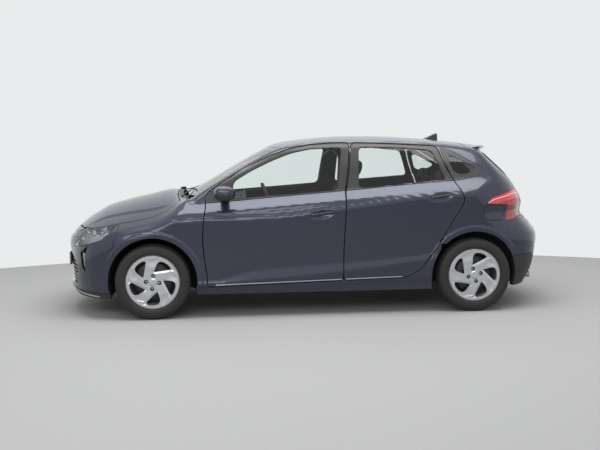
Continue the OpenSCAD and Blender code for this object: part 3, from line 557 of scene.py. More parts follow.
def grid_faces(rows, columns):
    index = np.arange(rows * columns).reshape(rows, columns)
    a, b, c, d = index[:-1, :-1], index[1:, :-1], index[1:, 1:], index[:-1, 1:]
    return np.concatenate([np.stack([a, b, c], -1).reshape(-1, 3),
        np.stack([a, c, d], -1).reshape(-1, 3)])


def sideways(p):
    """Straight across the car, towards its middle."""
    return np.stack([-np.sign(p[:, 0]), 0 * p[:, 0], 0 * p[:, 0]], 1)


def skin(rays, us, vs, keeps, depth=0.0, roll=2.5, flange=9.0, inward=None, inner=False):
    """A panel on the body, where every function in keeps is positive, with a rolled edge.

    The rays' grid comes from two spans of (low, high, size), or from the places themselves.
    """
    spread = [steps(*span) if isinstance(span, tuple) else span for span in (us, vs)]
    u, v = np.meshgrid(*spread, indexing="ij")
    points = land(*rays(u.ravel(), v.ravel()), depth)
    faces = grid_faces(*u.shape)
    corners = points[faces]
    normal = np.cross(corners[:, 1] - corners[:, 0], corners[:, 2] - corners[:, 0])
    if ((normal * facing(corners.mean(1))).sum() < 0) != inner:
        faces = faces[:, ::-1]
    for keep in keeps:
        points, faces = clip(points, faces, lambda p, keep=keep: keep(p) - roll)
    normals = facing(points) * (-1 if inner else 1)
    return rolled(points, faces, normals, roll, flange, inward)


# %% From shapes to objects
made = {}


def piece(name, shape, finish, body="body", stands_for=(), crease=None):
    """Makes an object of a shape, gives it a finish and fixes it to the body that carries it.

    Edges sharper than the crease angle stay sharp. Without one, the shape's own normals are kept.
    """
    mesh = bpy.data.meshes.new(name)
    place = np.clip((shape.points + [0, MID, 0]) * MM, *cad_box)
    mesh.from_pydata(place.tolist(), [], shape.faces)
    mesh.polygons.foreach_set("use_smooth", [True] * len(mesh.polygons))
    if crease is None:
        mesh.normals_split_custom_set_from_vertices(shape.normals.tolist())
    else:
        mesh.set_sharp_from_angle(angle=math.radians(crease))
    mesh.materials.append(finish.material)
    obj = bpy.data.objects.new(name, mesh)
    bpy.context.scene.collection.objects.link(obj)
    if stands_for:
        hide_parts(*stands_for)
    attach(obj, body)
    made[name] = obj
    return obj


def pair(name, shape, finish, body="body", stands_for=()):
    """A piece on the left of the car and its mirror image on the right. A * is the side."""
    for side, one in (("left", shape), ("right", shape.mirrored())):
        nodes = [node.replace("*", side) for node in stands_for if side == "left" or "*" in node]
        piece(name + "_" + side, one, finish, body.replace("*", side), nodes)
# %% [markdown]
# ## Finishes
#
# A finish is one Principled shader whose colour, roughness and bump come from procedural nodes.
# The Signal class lets shader maths be written like any other arithmetic, which keeps a finish
# down to a few readable lines.

# %% Signals and finishes
class Signal:
    """A shader value that takes part in arithmetic."""

    def __init__(self, tree, socket):
        self.tree, self.socket = tree, socket

    def maths(self, operation, other):
        node = self.tree.nodes.new("ShaderNodeMath")
        node.operation = operation
        for place, term in zip(node.inputs, (self, other)):
            if isinstance(term, Signal):
                self.tree.links.new(term.socket, place)
            else:
                place.default_value = term
        return Signal(self.tree, node.outputs[0])

    def __add__(self, other):
        return self.maths("ADD", other)

    def __mul__(self, other):
        return self.maths("MULTIPLY", other)

    __radd__ = __add__
    __rmul__ = __mul__


class Finish:
    """A material in the making. Constants are set on the shader's own sockets."""

    def __init__(self, name, slot, colour, roughness, **constants):
        self.material = bpy.data.materials.new(name)
        self.material.use_nodes = True
        self.slot = slot
        self.tree = self.material.node_tree
        self.shader = self.tree.nodes["Principled BSDF"]
        self.put("Base Color", colour)
        self.put("Roughness", roughness)
        for key, value in constants.items():
            self.put(key.replace("_", " ").title(), value)

    def put(self, name, value):
        """Sets or links one of the shader's sockets."""
        self.feed(self.shader.inputs[name], value)

    def feed(self, socket, value):
        if isinstance(value, Signal):
            self.tree.links.new(value.socket, socket)
        elif socket.type == "RGBA":
            socket.default_value = (*value, 1)
        else:
            socket.default_value = value

    def node(self, kind, values=(), output=0, **settings):
        """Any other node: its settings first, then the values or links of its sockets."""
        node = self.tree.nodes.new("ShaderNode" + kind)
        for key, value in settings.items():
            setattr(node, key, value)
        for key, value in dict(values).items():
            self.feed(node.inputs[key], value)
        return Signal(self.tree, node.outputs[output])

    def place(self):
        return self.node("TexCoord", output="Object")

    def noise(self, scale, detail=3.0, roughness=0.5, at=None):
        return self.node("TexNoise", {"Vector": at or self.place(), "Scale": scale,
            "Detail": detail, "Roughness": roughness})

    def flake(self, scale):
        """A different value in each small cell, as flakes of metal give."""
        cells = self.node("TexVoronoi", {"Vector": self.place(), "Scale": scale}, output="Color")
        return self.node("SeparateColor", {"Color": cells})

    def mix(self, factor, first, second):
        return self.node("Mix", {"Factor": factor, 6: first, 7: second}, output=2,
            data_type="RGBA")

    def bump(self, height, distance, strength=1.0):
        bump = self.node("Bump", {"Height": height, "Distance": distance, "Strength": strength})
        self.put("Normal", bump)
        return self


# %% [markdown]
# ### Paint
#
# The car is lacquered in a dark blue-grey with fine aluminium flake. Flake shows as tiny changes
# of brightness under a smooth clear coat, and the coat has a faint ripple, as sprayed lacquer
# has.

# %% Paint
PAINT_DARK = (0.016, 0.020, 0.037)
PAINT_LIGHT = (0.036, 0.043, 0.076)
paint = Finish("paint", "paint", PAINT_DARK, 0.34, metallic=0.5, coat_weight=0.75,
    coat_roughness=0.035)
flake_value = paint.flake(1400.0)
paint.put("Base Color", paint.mix(flake_value, PAINT_DARK, PAINT_LIGHT))
paint.put("Roughness", 0.27 + 0.14 * flake_value)
ripple = paint.noise(9.0, 2.0)
paint.bump(ripple + 0.02 * flake_value, 0.0004, 0.25)

inner_paint = Finish("inner_paint", "paint", (0.03, 0.033, 0.046), 0.5, metallic=0.2)
dust = inner_paint.noise(60.0)
inner_paint.put("Roughness", 0.42 + 0.2 * dust)
inner_paint.bump(inner_paint.noise(300.0), 0.0002)

# %% [markdown]
# ### Plastics, rubber and trim
#
# Moulded black plastic has a pebbled grain a fraction of a millimetre deep. Rubber is duller and
# smoother, and gloss black trim is nearly a mirror with a little haze.

# %% Plastics and rubber
def hazy(name, slot, colour, haze, scale, **constants):
    """Smooth finish whose roughness drifts: haze is its least value and its spread."""
    finish = Finish(name, slot, colour, haze[0], **constants)
    finish.put("Roughness", haze[0] + haze[1] * finish.noise(scale))
    return finish


def grained(name, slot, colour, roughness, scale, depth, **constants):
    """Moulded plastic with a pebbled grain."""
    finish = Finish(name, slot, colour, roughness, **constants)
    grain = finish.node("TexVoronoi", {"Vector": finish.place(), "Scale": scale},
        output="Distance", feature="SMOOTH_F1")
    cloud = finish.noise(14.0)
    paler = tuple(c * 1.3 + 0.004 for c in colour)
    finish.put("Base Color", finish.mix(cloud, colour, paler))
    finish.put("Roughness", roughness - 0.06 + 0.12 * cloud)
    return finish.bump(grain, depth)


black_plastic = grained("black_plastic", "black_trim", (0.016, 0.016, 0.017), 0.55, 900.0, 0.0003)
frame_black = grained("frame_black", "black_trim", (0.028, 0.027, 0.028), 0.3, 1500.0, 0.00006)
gloss_black = hazy("gloss_black", "black_trim", (0.008, 0.008, 0.009), (0.04, 0.05), 35.0,
    coat_weight=0.6)
seal_rubber = hazy("seal_rubber", "black_trim", (0.012, 0.012, 0.012), (0.6, 0.2), 80.0)
cabin_plastic = grained("cabin_plastic", "cabin_plastic", (0.035, 0.036, 0.039), 0.55, 700.0,
    0.0003)
pale_plastic = grained("pale_plastic", "cabin_plastic", (0.36, 0.365, 0.36), 0.6, 800.0, 0.0002)
underseal = grained("underseal", "underbody", (0.02, 0.02, 0.022), 0.75, 260.0, 0.0012)
liner_felt = grained("liner_felt", "black_trim", (0.012, 0.012, 0.013), 0.9, 420.0, 0.0009)

# %% [markdown]
# ### Metals
#
# The wheel covers are silver lacquer over plastic, with the same flake idea as the paint. Bare
# steel parts are brushed, and castings are rough.

# %% Metals
silver = Finish("silver", "wheel_silver", (0.52, 0.53, 0.54), 0.3, metallic=0.75, coat_weight=0.5,
    coat_roughness=0.08)
silver_flake = silver.flake(1500.0)
silver.put("Base Color", silver.mix(silver_flake, (0.46, 0.47, 0.485), (0.6, 0.61, 0.62)))
silver.put("Roughness", 0.26 + 0.12 * silver_flake)


def metal(name, slot, colour, roughness, scale=90.0, **constants):
    finish = Finish(name, slot, colour, roughness, metallic=1.0, **constants)
    stain = finish.noise(scale, 5.0, 0.6)
    darker = tuple(c * 0.72 for c in colour)
    finish.put("Base Color", finish.mix(stain, colour, darker))
    finish.put("Roughness", roughness - 0.08 + 0.2 * stain)
    return finish.bump(finish.noise(scale * 6), 0.0003)


dark_steel = metal("dark_steel", "underbody", (0.06, 0.06, 0.065), 0.5)
bright_steel = metal("bright_steel", "exhaust_steel", (0.6, 0.6, 0.6), 0.25)
exhaust_steel = metal("exhaust_steel", "exhaust_steel", (0.42, 0.39, 0.35), 0.42, 30.0)
cast_metal = metal("cast_metal", "engine_metal", (0.34, 0.34, 0.35), 0.5, 50.0)
disc_steel = metal("disc_steel", "underbody", (0.28, 0.27, 0.26), 0.35, 200.0)
mirror_glass = hazy("mirror_glass", "window_glass", (0.8, 0.82, 0.82), (0.01, 0.02), 12.0,
    metallic=1.0)

# %% [markdown]
# ### Rubber of the tyres
#
# A tyre's rubber is dull and a little grey, with cloudy patches over a fine grain.

# %% Tyres
tyre_rubber = Finish("tyre_rubber", "tyre_rubber", (0.014, 0.014, 0.014), 0.72)
tyre_cloud = tyre_rubber.noise(26.0, 5.0)
tyre_rubber.put("Base Color", tyre_rubber.mix(tyre_cloud, (0.010, 0.010, 0.010),
    (0.026, 0.026, 0.027)))
tyre_rubber.put("Roughness", 0.6 + 0.25 * tyre_cloud)
tyre_rubber.bump(tyre_rubber.noise(500.0), 0.0003)

# %% [markdown]
# ### Glass and lamps
#
# A pane lets most light straight through with a green tint, and mirrors more at a shallow angle.
# One thin sheet that mixes a clear and a glossy shader by the Fresnel value does this without
# bending the view, and light still reaches the cabin.

# %% Glass
GLASS_INDEX = 1.5


def pane(name, slot, tint, extra=0.0):
    """Thin clear sheet: see-through, with reflections that grow at a shallow angle."""
    finish = Finish(name, slot, tint, 0.02)
    clear = finish.node("BsdfTransparent", {"Color": tint})
    sheen = finish.node("BsdfGlossy", {"Color": (1.0, 1.0, 1.0), "Roughness": 0.015})
    share = finish.node("Fresnel", {"IOR": GLASS_INDEX}) * 0.9 + extra
    both = finish.node("MixShader", {0: share, 1: clear, 2: sheen})
    out = finish.tree.nodes["Material Output"]
    finish.tree.links.new(both.socket, out.inputs["Surface"])
    return finish


window = pane("window", "window_glass", (0.90, 0.955, 0.935))
dark_window = pane("dark_window", "window_glass", (0.78, 0.84, 0.82))
lamp_cover = pane("lamp_cover", "lamp_clear", (0.96, 0.97, 0.98), 0.02)


def lamp_plastic(name, deep, bright, glow):
    """Red lens with fine vertical ribs and a weak light of its own."""
    finish = Finish(name, "lamp_red", deep, 0.12, coat_weight=1.0, coat_roughness=0.03)
    ribs = finish.node("TexWave", {"Vector": finish.place(), "Scale": 60.0, "Distortion": 0.0},
        output="Fac")
    finish.put("Base Color", finish.mix(ribs, deep, bright))
    finish.put("Emission Color", finish.mix(ribs, deep, bright))
    finish.put("Emission Strength", glow)
    return finish.bump(ribs, 0.0006, 0.4)


red_bright = lamp_plastic("red_bright", (0.55, 0.012, 0.014), (0.7, 0.03, 0.04), 0.12)
red_deep = lamp_plastic("red_deep", (0.24, 0.012, 0.018), (0.34, 0.02, 0.03), 0.08)
reflector = hazy("reflector", "lamp_clear", (0.6, 0.62, 0.65), (0.12, 0.2), 40.0, metallic=0.6,
    coat_weight=0.5)
lamp_white = hazy("lamp_white", "lamp_clear", (0.86, 0.88, 0.9), (0.2, 0.2), 120.0,
    coat_weight=1.0)
plate_white = hazy("plate_white", "lamp_clear", (0.72, 0.72, 0.7), (0.3, 0.15), 60.0,
    coat_weight=0.4)

# %% [markdown]
# ### Cloth, carpet and leather
#
# The seats have a woven cloth: two waves at right angles make the weave. The roof lining is a pale
# felt, the carpet a coarse dark pile, and the steering wheel is wrapped in smooth leather.

# %% Cloth
def woven(name, slot, first, second, scale, depth):
    finish = Finish(name, slot, first, 0.85, sheen_weight=0.25)
    waves = [finish.node("TexWave", {"Vector": finish.place(), "Scale": scale, "Distortion": 0.6,
        "Detail": 1.0}, output="Fac", bands_direction=way) for way in "XYZ"]
    weave = waves[0] * 0.34 + waves[1] * 0.33 + waves[2] * 0.33
    finish.put("Base Color", finish.mix(weave, first, second))
    finish.put("Roughness", 0.75 + 0.2 * weave)
    return finish.bump(weave, depth)


seat_cloth = woven("seat_cloth", "seat_fabric", (0.028, 0.029, 0.032), (0.075, 0.077, 0.082),
    260.0, 0.0006)
seat_side = woven("seat_side", "seat_fabric", (0.016, 0.016, 0.018), (0.034, 0.034, 0.037), 420.0,
    0.0004)
headliner = woven("headliner", "seat_fabric", (0.42, 0.425, 0.415), (0.5, 0.505, 0.495), 500.0,
    0.0003)
carpet = woven("carpet", "seat_fabric", (0.012, 0.012, 0.013), (0.03, 0.03, 0.032), 180.0, 0.002)
leather = grained("leather", "steering_rim", (0.018, 0.018, 0.018), 0.48, 1100.0, 0.0002)
print("finishes:", len(bpy.data.materials))
# %% [markdown]
# ## Where the panels part
#
# These are the shut lines, drawn from the side as station and height, or from above and from the
# end for one half of the car. Doors and lids leave a gap of a few millimetres round them.

# %% Shut lines
FRONT_DOOR = [(-859, 248), (218, 278), (223, 525), (232, 684), (241, 843), (246, 1002),
    (255, 1040), (282, 1195), (300, 1376), (147, 1376), (-17, 1364), (-180, 1333), (-343, 1278),
    (-506, 1202), (-669, 1113), (-800, 1027), (-868, 978), (-865, 893), (-887, 745), (-894, 627),
    (-885, 493), (-864, 349)]
REAR_DOOR = [(218, 278), (715, 290), (780, 311), (854, 366), (959, 509), (1041, 629), (1097, 724),
    (1162, 828), (1198, 891), (1190, 948), (1150, 1028), (1110, 1100), (1066, 1200), (1022, 1342),
    (807, 1354), (558, 1368), (314, 1376), (294, 1195), (266, 1030), (251, 1002), (241, 843),
    (232, 684), (223, 525)]
FRONT_GLASS = [(-655, 937), (-116, 973), (190, 996), (215, 1190), (240, 1338), (-19, 1332),
    (-182, 1298), (-345, 1236), (-507, 1159), (-650, 1074)]
REAR_GLASS = [(352, 1008), (1072, 1056), (1020, 1200), (975, 1308), (720, 1331), (372, 1340)]
QUARTER_GLASS = [(1094, 1268), (1150, 1256), (1330, 1160), (1280, 1128), (1200, 1106),
    (1140, 1128)]
QUARTER_TRIM = [(1046, 1330), (1150, 1300), (1250, 1240), (1412, 1146), (1310, 1092), (1200, 1068),
    (1132, 1060), (1090, 1160)]
TAIL_LAMP = [(1388, 874), (1432, 919), (1656, 977), (2100, 985), (2100, 760), (1684, 760),
    (1642, 740), (1556, 731), (1584, 862)]
FUEL_FLAP = [(1373, 866), (1357, 799), (1365, 746), (1528, 735), (1558, 852)]
HEADLAMP = [(-2000, 548), (-1900, 565), (-1800, 590), (-1700, 628), (-1560, 752), (-1542, 782),
    (-1700, 748), (-1800, 722), (-1930, 668), (-2000, 640)]
WING = [(-1545, 1010), (-1545, 770), (-1560, 700), (-1600, 560), (-1523, 245), (-866, 245),
    (-866, 300), (-800, 300), (-800, 905), (-985, 905), (-1060, 968), (-1060, 1010)]
SIDE = [(-985, 905), (-862, 905), (-862, 245), (-940, 245), (-940, 190), (1010, 190), (1010, 560),
    (1545, 560), (1575, 640), (1650, 735), (2100, 735), (2100, 1480), (-500, 1480), (-1060, 968)]
FRONT_BUMPER = [(-2100, 165), (-1500, 165), (-1600, 560), (-1560, 700), (-1545, 770),
    (-1700, 1010), (-2100, 1010)]
REAR_BUMPER = [(1480, 190), (2100, 190), (2100, 735), (1650, 735), (1575, 640), (1545, 560),
    (1480, 560)]


def half(*points):
    """Closed outline of one half, drawn from the middle outwards and back to the middle."""
    inner_start, inner_end = points[0], points[-1]
    return [(-400, inner_start[1]), *points, (-400, inner_end[1])]


GRILLE = half((0, 556), (330, 546), (420, 506), (540, 470), (615, 385), (600, 310), (560, 255),
    (0, 240))
TAILGATE = half((0, 1470), (556, 1470), (570, 1300), (598, 1100), (608, 1000), (610, 745),
    (560, 690), (0, 690))
BACK_GLASS = half((0, 1300), (470, 1285), (512, 1200), (528, 1085), (480, 1045), (0, 1035))
BONNET = half((0, -1945), (250, -1925), (450, -1870), (600, -1780), (690, -1640), (722, -1450),
    (725, -1290), (712, -1170), (680, -1100), (640, -1072), (400, -1098), (0, -1118))
SCUTTLE = half((0, -1114), (400, -1094), (620, -1070), (690, -1030), (680, -955), (640, -949),
    (400, -1008), (0, -1035))
WINDSCREEN = half((0, -1035), (400, -1008), (640, -949), (655, -945), (572, -275), (300, -322),
    (0, -338))
ROOF = half((0, -338), (300, -322), (572, -275), (566, 200), (556, 1285), (0, 1285))
WAIST = [(-973, 903), (-863, 911), (-594, 929), (-355, 949), (-116, 967), (246, 994), (693, 1031),
    (1062, 1058), (1300, 1075)]
TAILGATE_FRONT = 1296
DOOR_DEPTH = 100

front_door = within(soften(FRONT_DOOR, 16))
rear_door = within(soften(REAR_DOOR, 22))
front_glass = within(soften(FRONT_GLASS, 22))
rear_glass = within(soften(REAR_GLASS, 22))
quarter_glass = within(soften(QUARTER_GLASS, 16))
quarter_trim = within(soften(QUARTER_TRIM, 12))
tail_lamp = within(soften(TAIL_LAMP, 10))
fuel_flap = within(soften(FUEL_FLAP, 22))
headlamp = all_of(within(soften(HEADLAMP, 8)), lambda p: np.abs(p[:, 0]) - 400)
wing = within(WING)
body_side = within(SIDE)
front_bumper = within(FRONT_BUMPER)
rear_bumper = within(REAR_BUMPER)
grille = within(soften(GRILLE, 24), "end")
tailgate = all_of(within(soften(TAILGATE, 14), "end"), past(TAILGATE_FRONT))
back_glass = all_of(within(soften(BACK_GLASS, 20), "end"), past(1300))
bonnet = all_of(within(soften(BONNET, 14), "plan"), above(600))
scuttle = all_of(within(SCUTTLE, "plan"), above(700))
windscreen = all_of(within(soften(WINDSCREEN, 10), "plan"), above(880))
roof = all_of(within(ROOF, "plan"), above(1200))
GAP = 3.0


def grown(keep, by):
    return lambda p: keep(p) + by


# %% [markdown]
# ## Doors
#
# A door is a painted skin below the waist and a black frame round its window above it. Behind
# them is a deep inner shell in a duller paint, closed by a moulded trim, which shows when the
# door is open.

# %% Door skins, frames and glass
PANEL_STEP = 13


def outwards(p):
    return -sideways(p)


def door(name, outline, glass, low, high):
    """The parts of one door that follow the body: skin, frame, glass, inner shell and trim."""
    opening = name.replace("door", "window")
    inside, edge = grown(outline, -GAP), grown(outline, -16)
    plan = (
        ("_skin", paint, (235, 1075, 9), [inside, below(WAIST, 1)], {}),
        ("_frame", frame_black, (890, 1385, PANEL_STEP),
         [inside, above(WAIST, 1), beyond(glass)],
         {"roll": 1.5, "flange": 16, "inward": sideways}),
        ("_seal", seal_rubber, (890, 1345, PANEL_STEP),
         [grown(glass, 3), beyond(grown(glass, -5))], {"depth": 3, "roll": 1.0, "flange": 5}),
        ("_pane", window, (920, 1345, 14), [grown(glass, 2)],
         {"depth": 5.5, "roll": 0.2, "flange": 0}),
        ("_shell", inner_paint, (250, 1060, 24), [edge, below(WAIST, 8)],
         {"depth": DOOR_DEPTH - 12, "roll": 6, "flange": DOOR_DEPTH - 26, "inward": outwards,
          "inner": True}),
        ("_trim", cabin_plastic, (280, 1070, 22), [grown(outline, -44), below(WAIST, 6)],
         {"depth": DOOR_DEPTH, "roll": 9, "flange": 9, "inner": True}),
        ("_lining", frame_black, (890, 1385, 14),
         [edge, above(WAIST, -10), beyond(grown(glass, 2))],
         {"depth": 36, "roll": 5, "flange": 26, "inward": outwards, "inner": True}))
    stands_for = {"_skin": (name + "_*",), "_pane": (opening + "_*",)}
    for part, finish, heights, keeps, how in plan:
        shape = skin(round_car, (along(low), along(high), PANEL_STEP), heights, keeps, **how)
        pair((opening if part == "_pane" else name) + part, shape, finish, name + "_*",
            stands_for.get(part, ()))


door("front_door", front_door, front_glass, -905, 305)
door("rear_door", rear_door, rear_glass, 210, 1205)
print("door pieces", len(made))

# %% [markdown]
# ## Fixed body
#
# The side frame runs from the foot of the windscreen over the doors to the tail and down to the
# sill. It is one pressing on the real car, and one skin here, with the doors, lamps, flap and
# wheel arches cut from it and its edges turned in.

# %% Side frame and wings
side_keeps = [body_side, beyond(front_door, GAP), beyond(rear_door, GAP), beyond(quarter_trim),
    beyond(tail_lamp, 1.5), beyond(roof, 3), beyond(windscreen, 2), beyond(bonnet, GAP),
    beyond(scuttle, 2), beyond(tailgate, GAP), arches, past(480, 0)]
side_grid = ((along(-1070), TRACK_END - 250, PANEL_STEP), (188, 1425, PANEL_STEP))
with_flap = skin(round_car, *side_grid, side_keeps + [beyond(fuel_flap, GAP)], flange=34,
    inward=sideways)
without_flap = skin(round_car, *side_grid, side_keeps, flange=34, inward=sideways)
piece("body_side_left", with_flap, paint, "body", ("body_sides",))
piece("body_side_right", without_flap.mirrored(), paint)
flap_reach = (along(1340), along(1300) + 300, 8)
piece("fuel_flap_skin", skin(round_car, flap_reach, (725, 875, 8), [fuel_flap]), paint,
    "fuel_flap", ("fuel_flap",))
piece("fuel_flap_well", skin(round_car, flap_reach, (720, 880, 16), [grown(fuel_flap, 8)],
    depth=26), inner_paint)
wing_shape = skin(round_car, (along(-1300) - 330, along(-790), PANEL_STEP), (240, 1000, 8),
    [wing, beyond(front_door, GAP), beyond(headlamp, 1.5), beyond(bonnet, GAP), arches,
    above(248)], flange=22)
pair("front_wing", wing_shape, paint, "body", ("front_wings",))

# %% Roof, bonnet and scuttle
piece("roof_skin", skin(from_above, (-585, 585, 16), (-345, 1290, 20), [grown(roof, -1)]), paint,
    "body", ("roof_panel",))
ditch = skin(from_above, (520, 600, 5), (-330, 1300, 16), [grown(roof, 6),
    beyond(grown(roof, -5))], depth=4, roll=0.5, flange=6)
pair("roof_seam", ditch, seal_rubber)
bonnet_shape = skin(from_above, (-740, 740, PANEL_STEP), (-1960, -1060, PANEL_STEP),
    [grown(bonnet, -GAP)], flange=14)
piece("bonnet_skin", bonnet_shape, paint, "bonnet", ("bonnet",))
piece("bonnet_liner", skin(from_above, (-740, 740, 22), (-1960, -1160, 22), [grown(bonnet, -26)],
    depth=20, roll=5, flange=8, inner=True), inner_paint, "bonnet")
piece("scuttle_skin", skin(from_above, (-700, 700, 14), (-1130, -940, 8), [scuttle], depth=36,
    roll=2), black_plastic, "body", ("scuttle_panel",))

# %% Windscreen, quarter windows and tailgate window
piece("windscreen_pane", skin(from_above, (-680, 680, 18), (-1045, -265, 18),
    [grown(windscreen, -1)], depth=2, roll=0.2, flange=0), window, "body", ("windscreen",))
band = all_of(grown(windscreen, -1), beyond(within([(-400, -990), (0, -990), (380, -966),
    (610, -905), (540, -330), (300, -368), (0, -384), (-400, -384)], "plan")))
piece("windscreen_border", skin(from_above, (-680, 680, 20), (-1045, -265, 18), [band], depth=4,
    roll=0.3, flange=4), gloss_black)
pair("quarter_trim", skin(round_car, (along(1030), along(1300) + 220, 7), (1045, 1345, 7),
    [grown(quarter_trim, -1), beyond(rear_door, GAP), beyond(quarter_glass)], roll=1.5),
    frame_black)
pair("quarter_pane", skin(round_car, (along(1060), along(1300) + 120, 12), (1095, 1275, 12),
    [grown(quarter_glass, 2)], depth=5, roll=0.2, flange=0), dark_window, "body",
    ("quarter_windows",))

# %% [markdown]
# ## Tailgate
#
# Its upper edge carries the spoiler in body colour. The window sits in a gloss black surround that
# reaches the side of the car, and the lower half is painted, with a red light bar across it.

# %% Tailgate skins
BAR_LOW, BAR_HIGH = 868, 905
SURROUND_LOW, SURROUND_HIGH = 1026, 1312
tail_x = (-625, 625, PANEL_STEP)
tail_angle = (-16, 80, 1.0)
inside_tailgate = grown(tailgate, -GAP)
light_bar = all_of(above(BAR_LOW), below(BAR_HIGH), past(1500))
black_zone = all_of(above(SURROUND_LOW), below(SURROUND_HIGH), past(1330))
piece("tailgate_skin", skin(from_behind, tail_x, tail_angle, [inside_tailgate,
    below(SURROUND_LOW, 1), beyond(light_bar)], flange=16), paint, "tailgate", ("tailgate",))
piece("tailgate_spoiler", skin(from_behind, tail_x, tail_angle, [inside_tailgate,
    beyond(black_zone), above(1100)], flange=16), paint, "tailgate")
piece("tailgate_surround", skin(from_behind, tail_x, tail_angle, [inside_tailgate, black_zone,
    beyond(back_glass)], roll=1.5, flange=12), gloss_black, "tailgate")
piece("tailgate_pane", skin(from_behind, (-560, 560, 16), (10, 60, 1.2), [grown(back_glass, 2)],
    depth=5, roll=0.2, flange=0), dark_window, "tailgate", ("tailgate_window",))
piece("tailgate_bar", skin(from_behind, tail_x, (-5, 14, 0.7), [inside_tailgate,
    grown(light_bar, -1)], roll=3, depth=-2), red_bright, "tailgate")
piece("tailgate_inner", skin(from_behind, (-600, 600, 20), (-14, 78, 2),
    [grown(tailgate, -22), beyond(grown(back_glass, 4))], depth=42, roll=8, flange=30, inner=True),
    inner_paint, "tailgate")

# %% Bumpers
bumper_s = (-(along(-1500) + 60), along(-1500) + 60, 12)
CORNER_SLOT = [(-1796, 588), (-1872, 528), (-1858, 400), (-1828, 366), (-1832, 500)]
corner_slot = within(soften(CORNER_SLOT, 8))
BUMPER_SHELF = [(-2100, 232), (-1800, 222), (-1650, 212), (-1500, 205)]
upper_slot = all_of(within(soften(half((0, 672), (300, 668), (395, 655), (395, 640), (300, 634),
    (0, 630)), 6), "end"), past(-1700, sign=-1))
bumper_keeps = [front_bumper, beyond(headlamp, 1.5), beyond(bonnet, GAP), beyond(grille),
    beyond(wing, 1.5), arches, beyond(corner_slot), beyond(upper_slot)]
piece("front_bumper_skin", skin(round_car, bumper_s, (160, 790, PANEL_STEP),
    bumper_keeps + [above(BUMPER_SHELF, 1)], flange=20), paint, "body", ("front_bumper",))
piece("front_bumper_lip", skin(round_car, bumper_s, (155, 260, 8),
    [front_bumper, below(BUMPER_SHELF, 1), arches, above(168)], flange=24, depth=5), black_plastic)
tail_s = steps(along(1440), TRACK_END, 12)
rear_s = np.concatenate([tail_s, 2 * TRACK_END - tail_s[::-1][1:]])
VALANCE = [(1400, 418), (1614, 440), (1800, 456), (2100, 466)]


def round_tail(s, z):
    """Rays round the tail, past its middle to the right side."""
    over = s > TRACK_END
    start, way = round_car(np.where(over, 2 * TRACK_END - s, s), z)
    flip = np.where(over, -1, 1)[:, None] * np.array([1, 0, 0]) + np.array([0, 1, 1])
    return start * flip, way * flip


rear_keeps = [rear_bumper, beyond(tail_lamp, 1.5), beyond(tailgate, GAP), arches]
plate_hole = all_of(within(soften(half((0, 640), (270, 640), (290, 600), (270, 500), (0, 500)),
    12), "end"), past(1700))
piece("rear_bumper_skin", skin(round_tail, rear_s, (188, 745, PANEL_STEP),
    rear_keeps + [above(VALANCE, 1), beyond(plate_hole)], flange=20), paint, "body",
    ("rear_bumper",))
piece("rear_bumper_valance", skin(round_tail, rear_s, (188, 580, PANEL_STEP),
    rear_keeps + [below(VALANCE, 1), above(192)], flange=30, depth=4), black_plastic)
piece("plate_recess", skin(round_tail, rear_s[60:-60], (490, 650, 12), [grown(plate_hole, 4)],
    depth=22, flange=2), black_plastic)
print("body pieces", len(made))
# %% [markdown]
# ## Solid forms
#
# Round parts are turned from a profile, bent parts are swept along a path, and moulded parts are
# lofted through sections. All of them end as one closed mesh with its faces turned outwards.

# %% Turned, swept and lofted forms
def merged(points, faces, distance):
    """Editable mesh of points and faces, with points closer than the distance merged."""
    mesh = bmesh.new()
    for point in points:
        mesh.verts.new(point)
    mesh.verts.ensure_lookup_table()
    for face in faces:
        try:
            mesh.faces.new([mesh.verts[i] for i in face])
        except ValueError:
            continue
    bmesh.ops.remove_doubles(mesh, verts=mesh.verts, dist=distance)
    return mesh


def finished(mesh):
    """Shape of an editable mesh, with its faces turned outwards."""
    bmesh.ops.recalc_face_normals(mesh, faces=mesh.faces)
    mesh.verts.index_update()
    result = Shape([v.co[:] for v in mesh.verts], [[v.index for v in f.verts] for f in mesh.faces],
        np.zeros((len(mesh.verts), 3)))
    mesh.free()
    return result


def closed(points, faces):
    return finished(merged(points, faces, 0.01))


def loft(rings, caps=True, around=True):
    """Skin through rings with equal numbers of points."""
    rings = [np.asarray(ring, float) for ring in rings]
    count = len(rings[0])
    faces = []
    for row in range(len(rings) - 1):
        for i in range(count if around else count - 1):
            j = (i + 1) % count
            faces.append([row * count + i, row * count + j, (row + 1) * count + j,
                (row + 1) * count + i])
    if caps:
        faces.append(list(range(count)))
        faces.append([(len(rings) - 1) * count + i for i in range(count)])
    return closed(np.concatenate(rings), faces)


def turned(profile, turns=72, axis="x", centre=(0, 0, 0)):
    """Profile of (place along the axis, radius) turned about the axis."""
    angles = circle(turns)
    rings = []
    for along_axis, radius in profile:
        a, b = radius * np.cos(angles), radius * np.sin(angles)
        c = np.full(turns, float(along_axis))
        order = {"x": (c, a, b), "y": (a, c, b), "z": (a, b, c)}[axis]
        rings.append(np.stack(order, 1) + centre)
    return loft(rings, caps=profile[0][1] > 0 and profile[-1][1] > 0 and profile[0] != profile[-1])


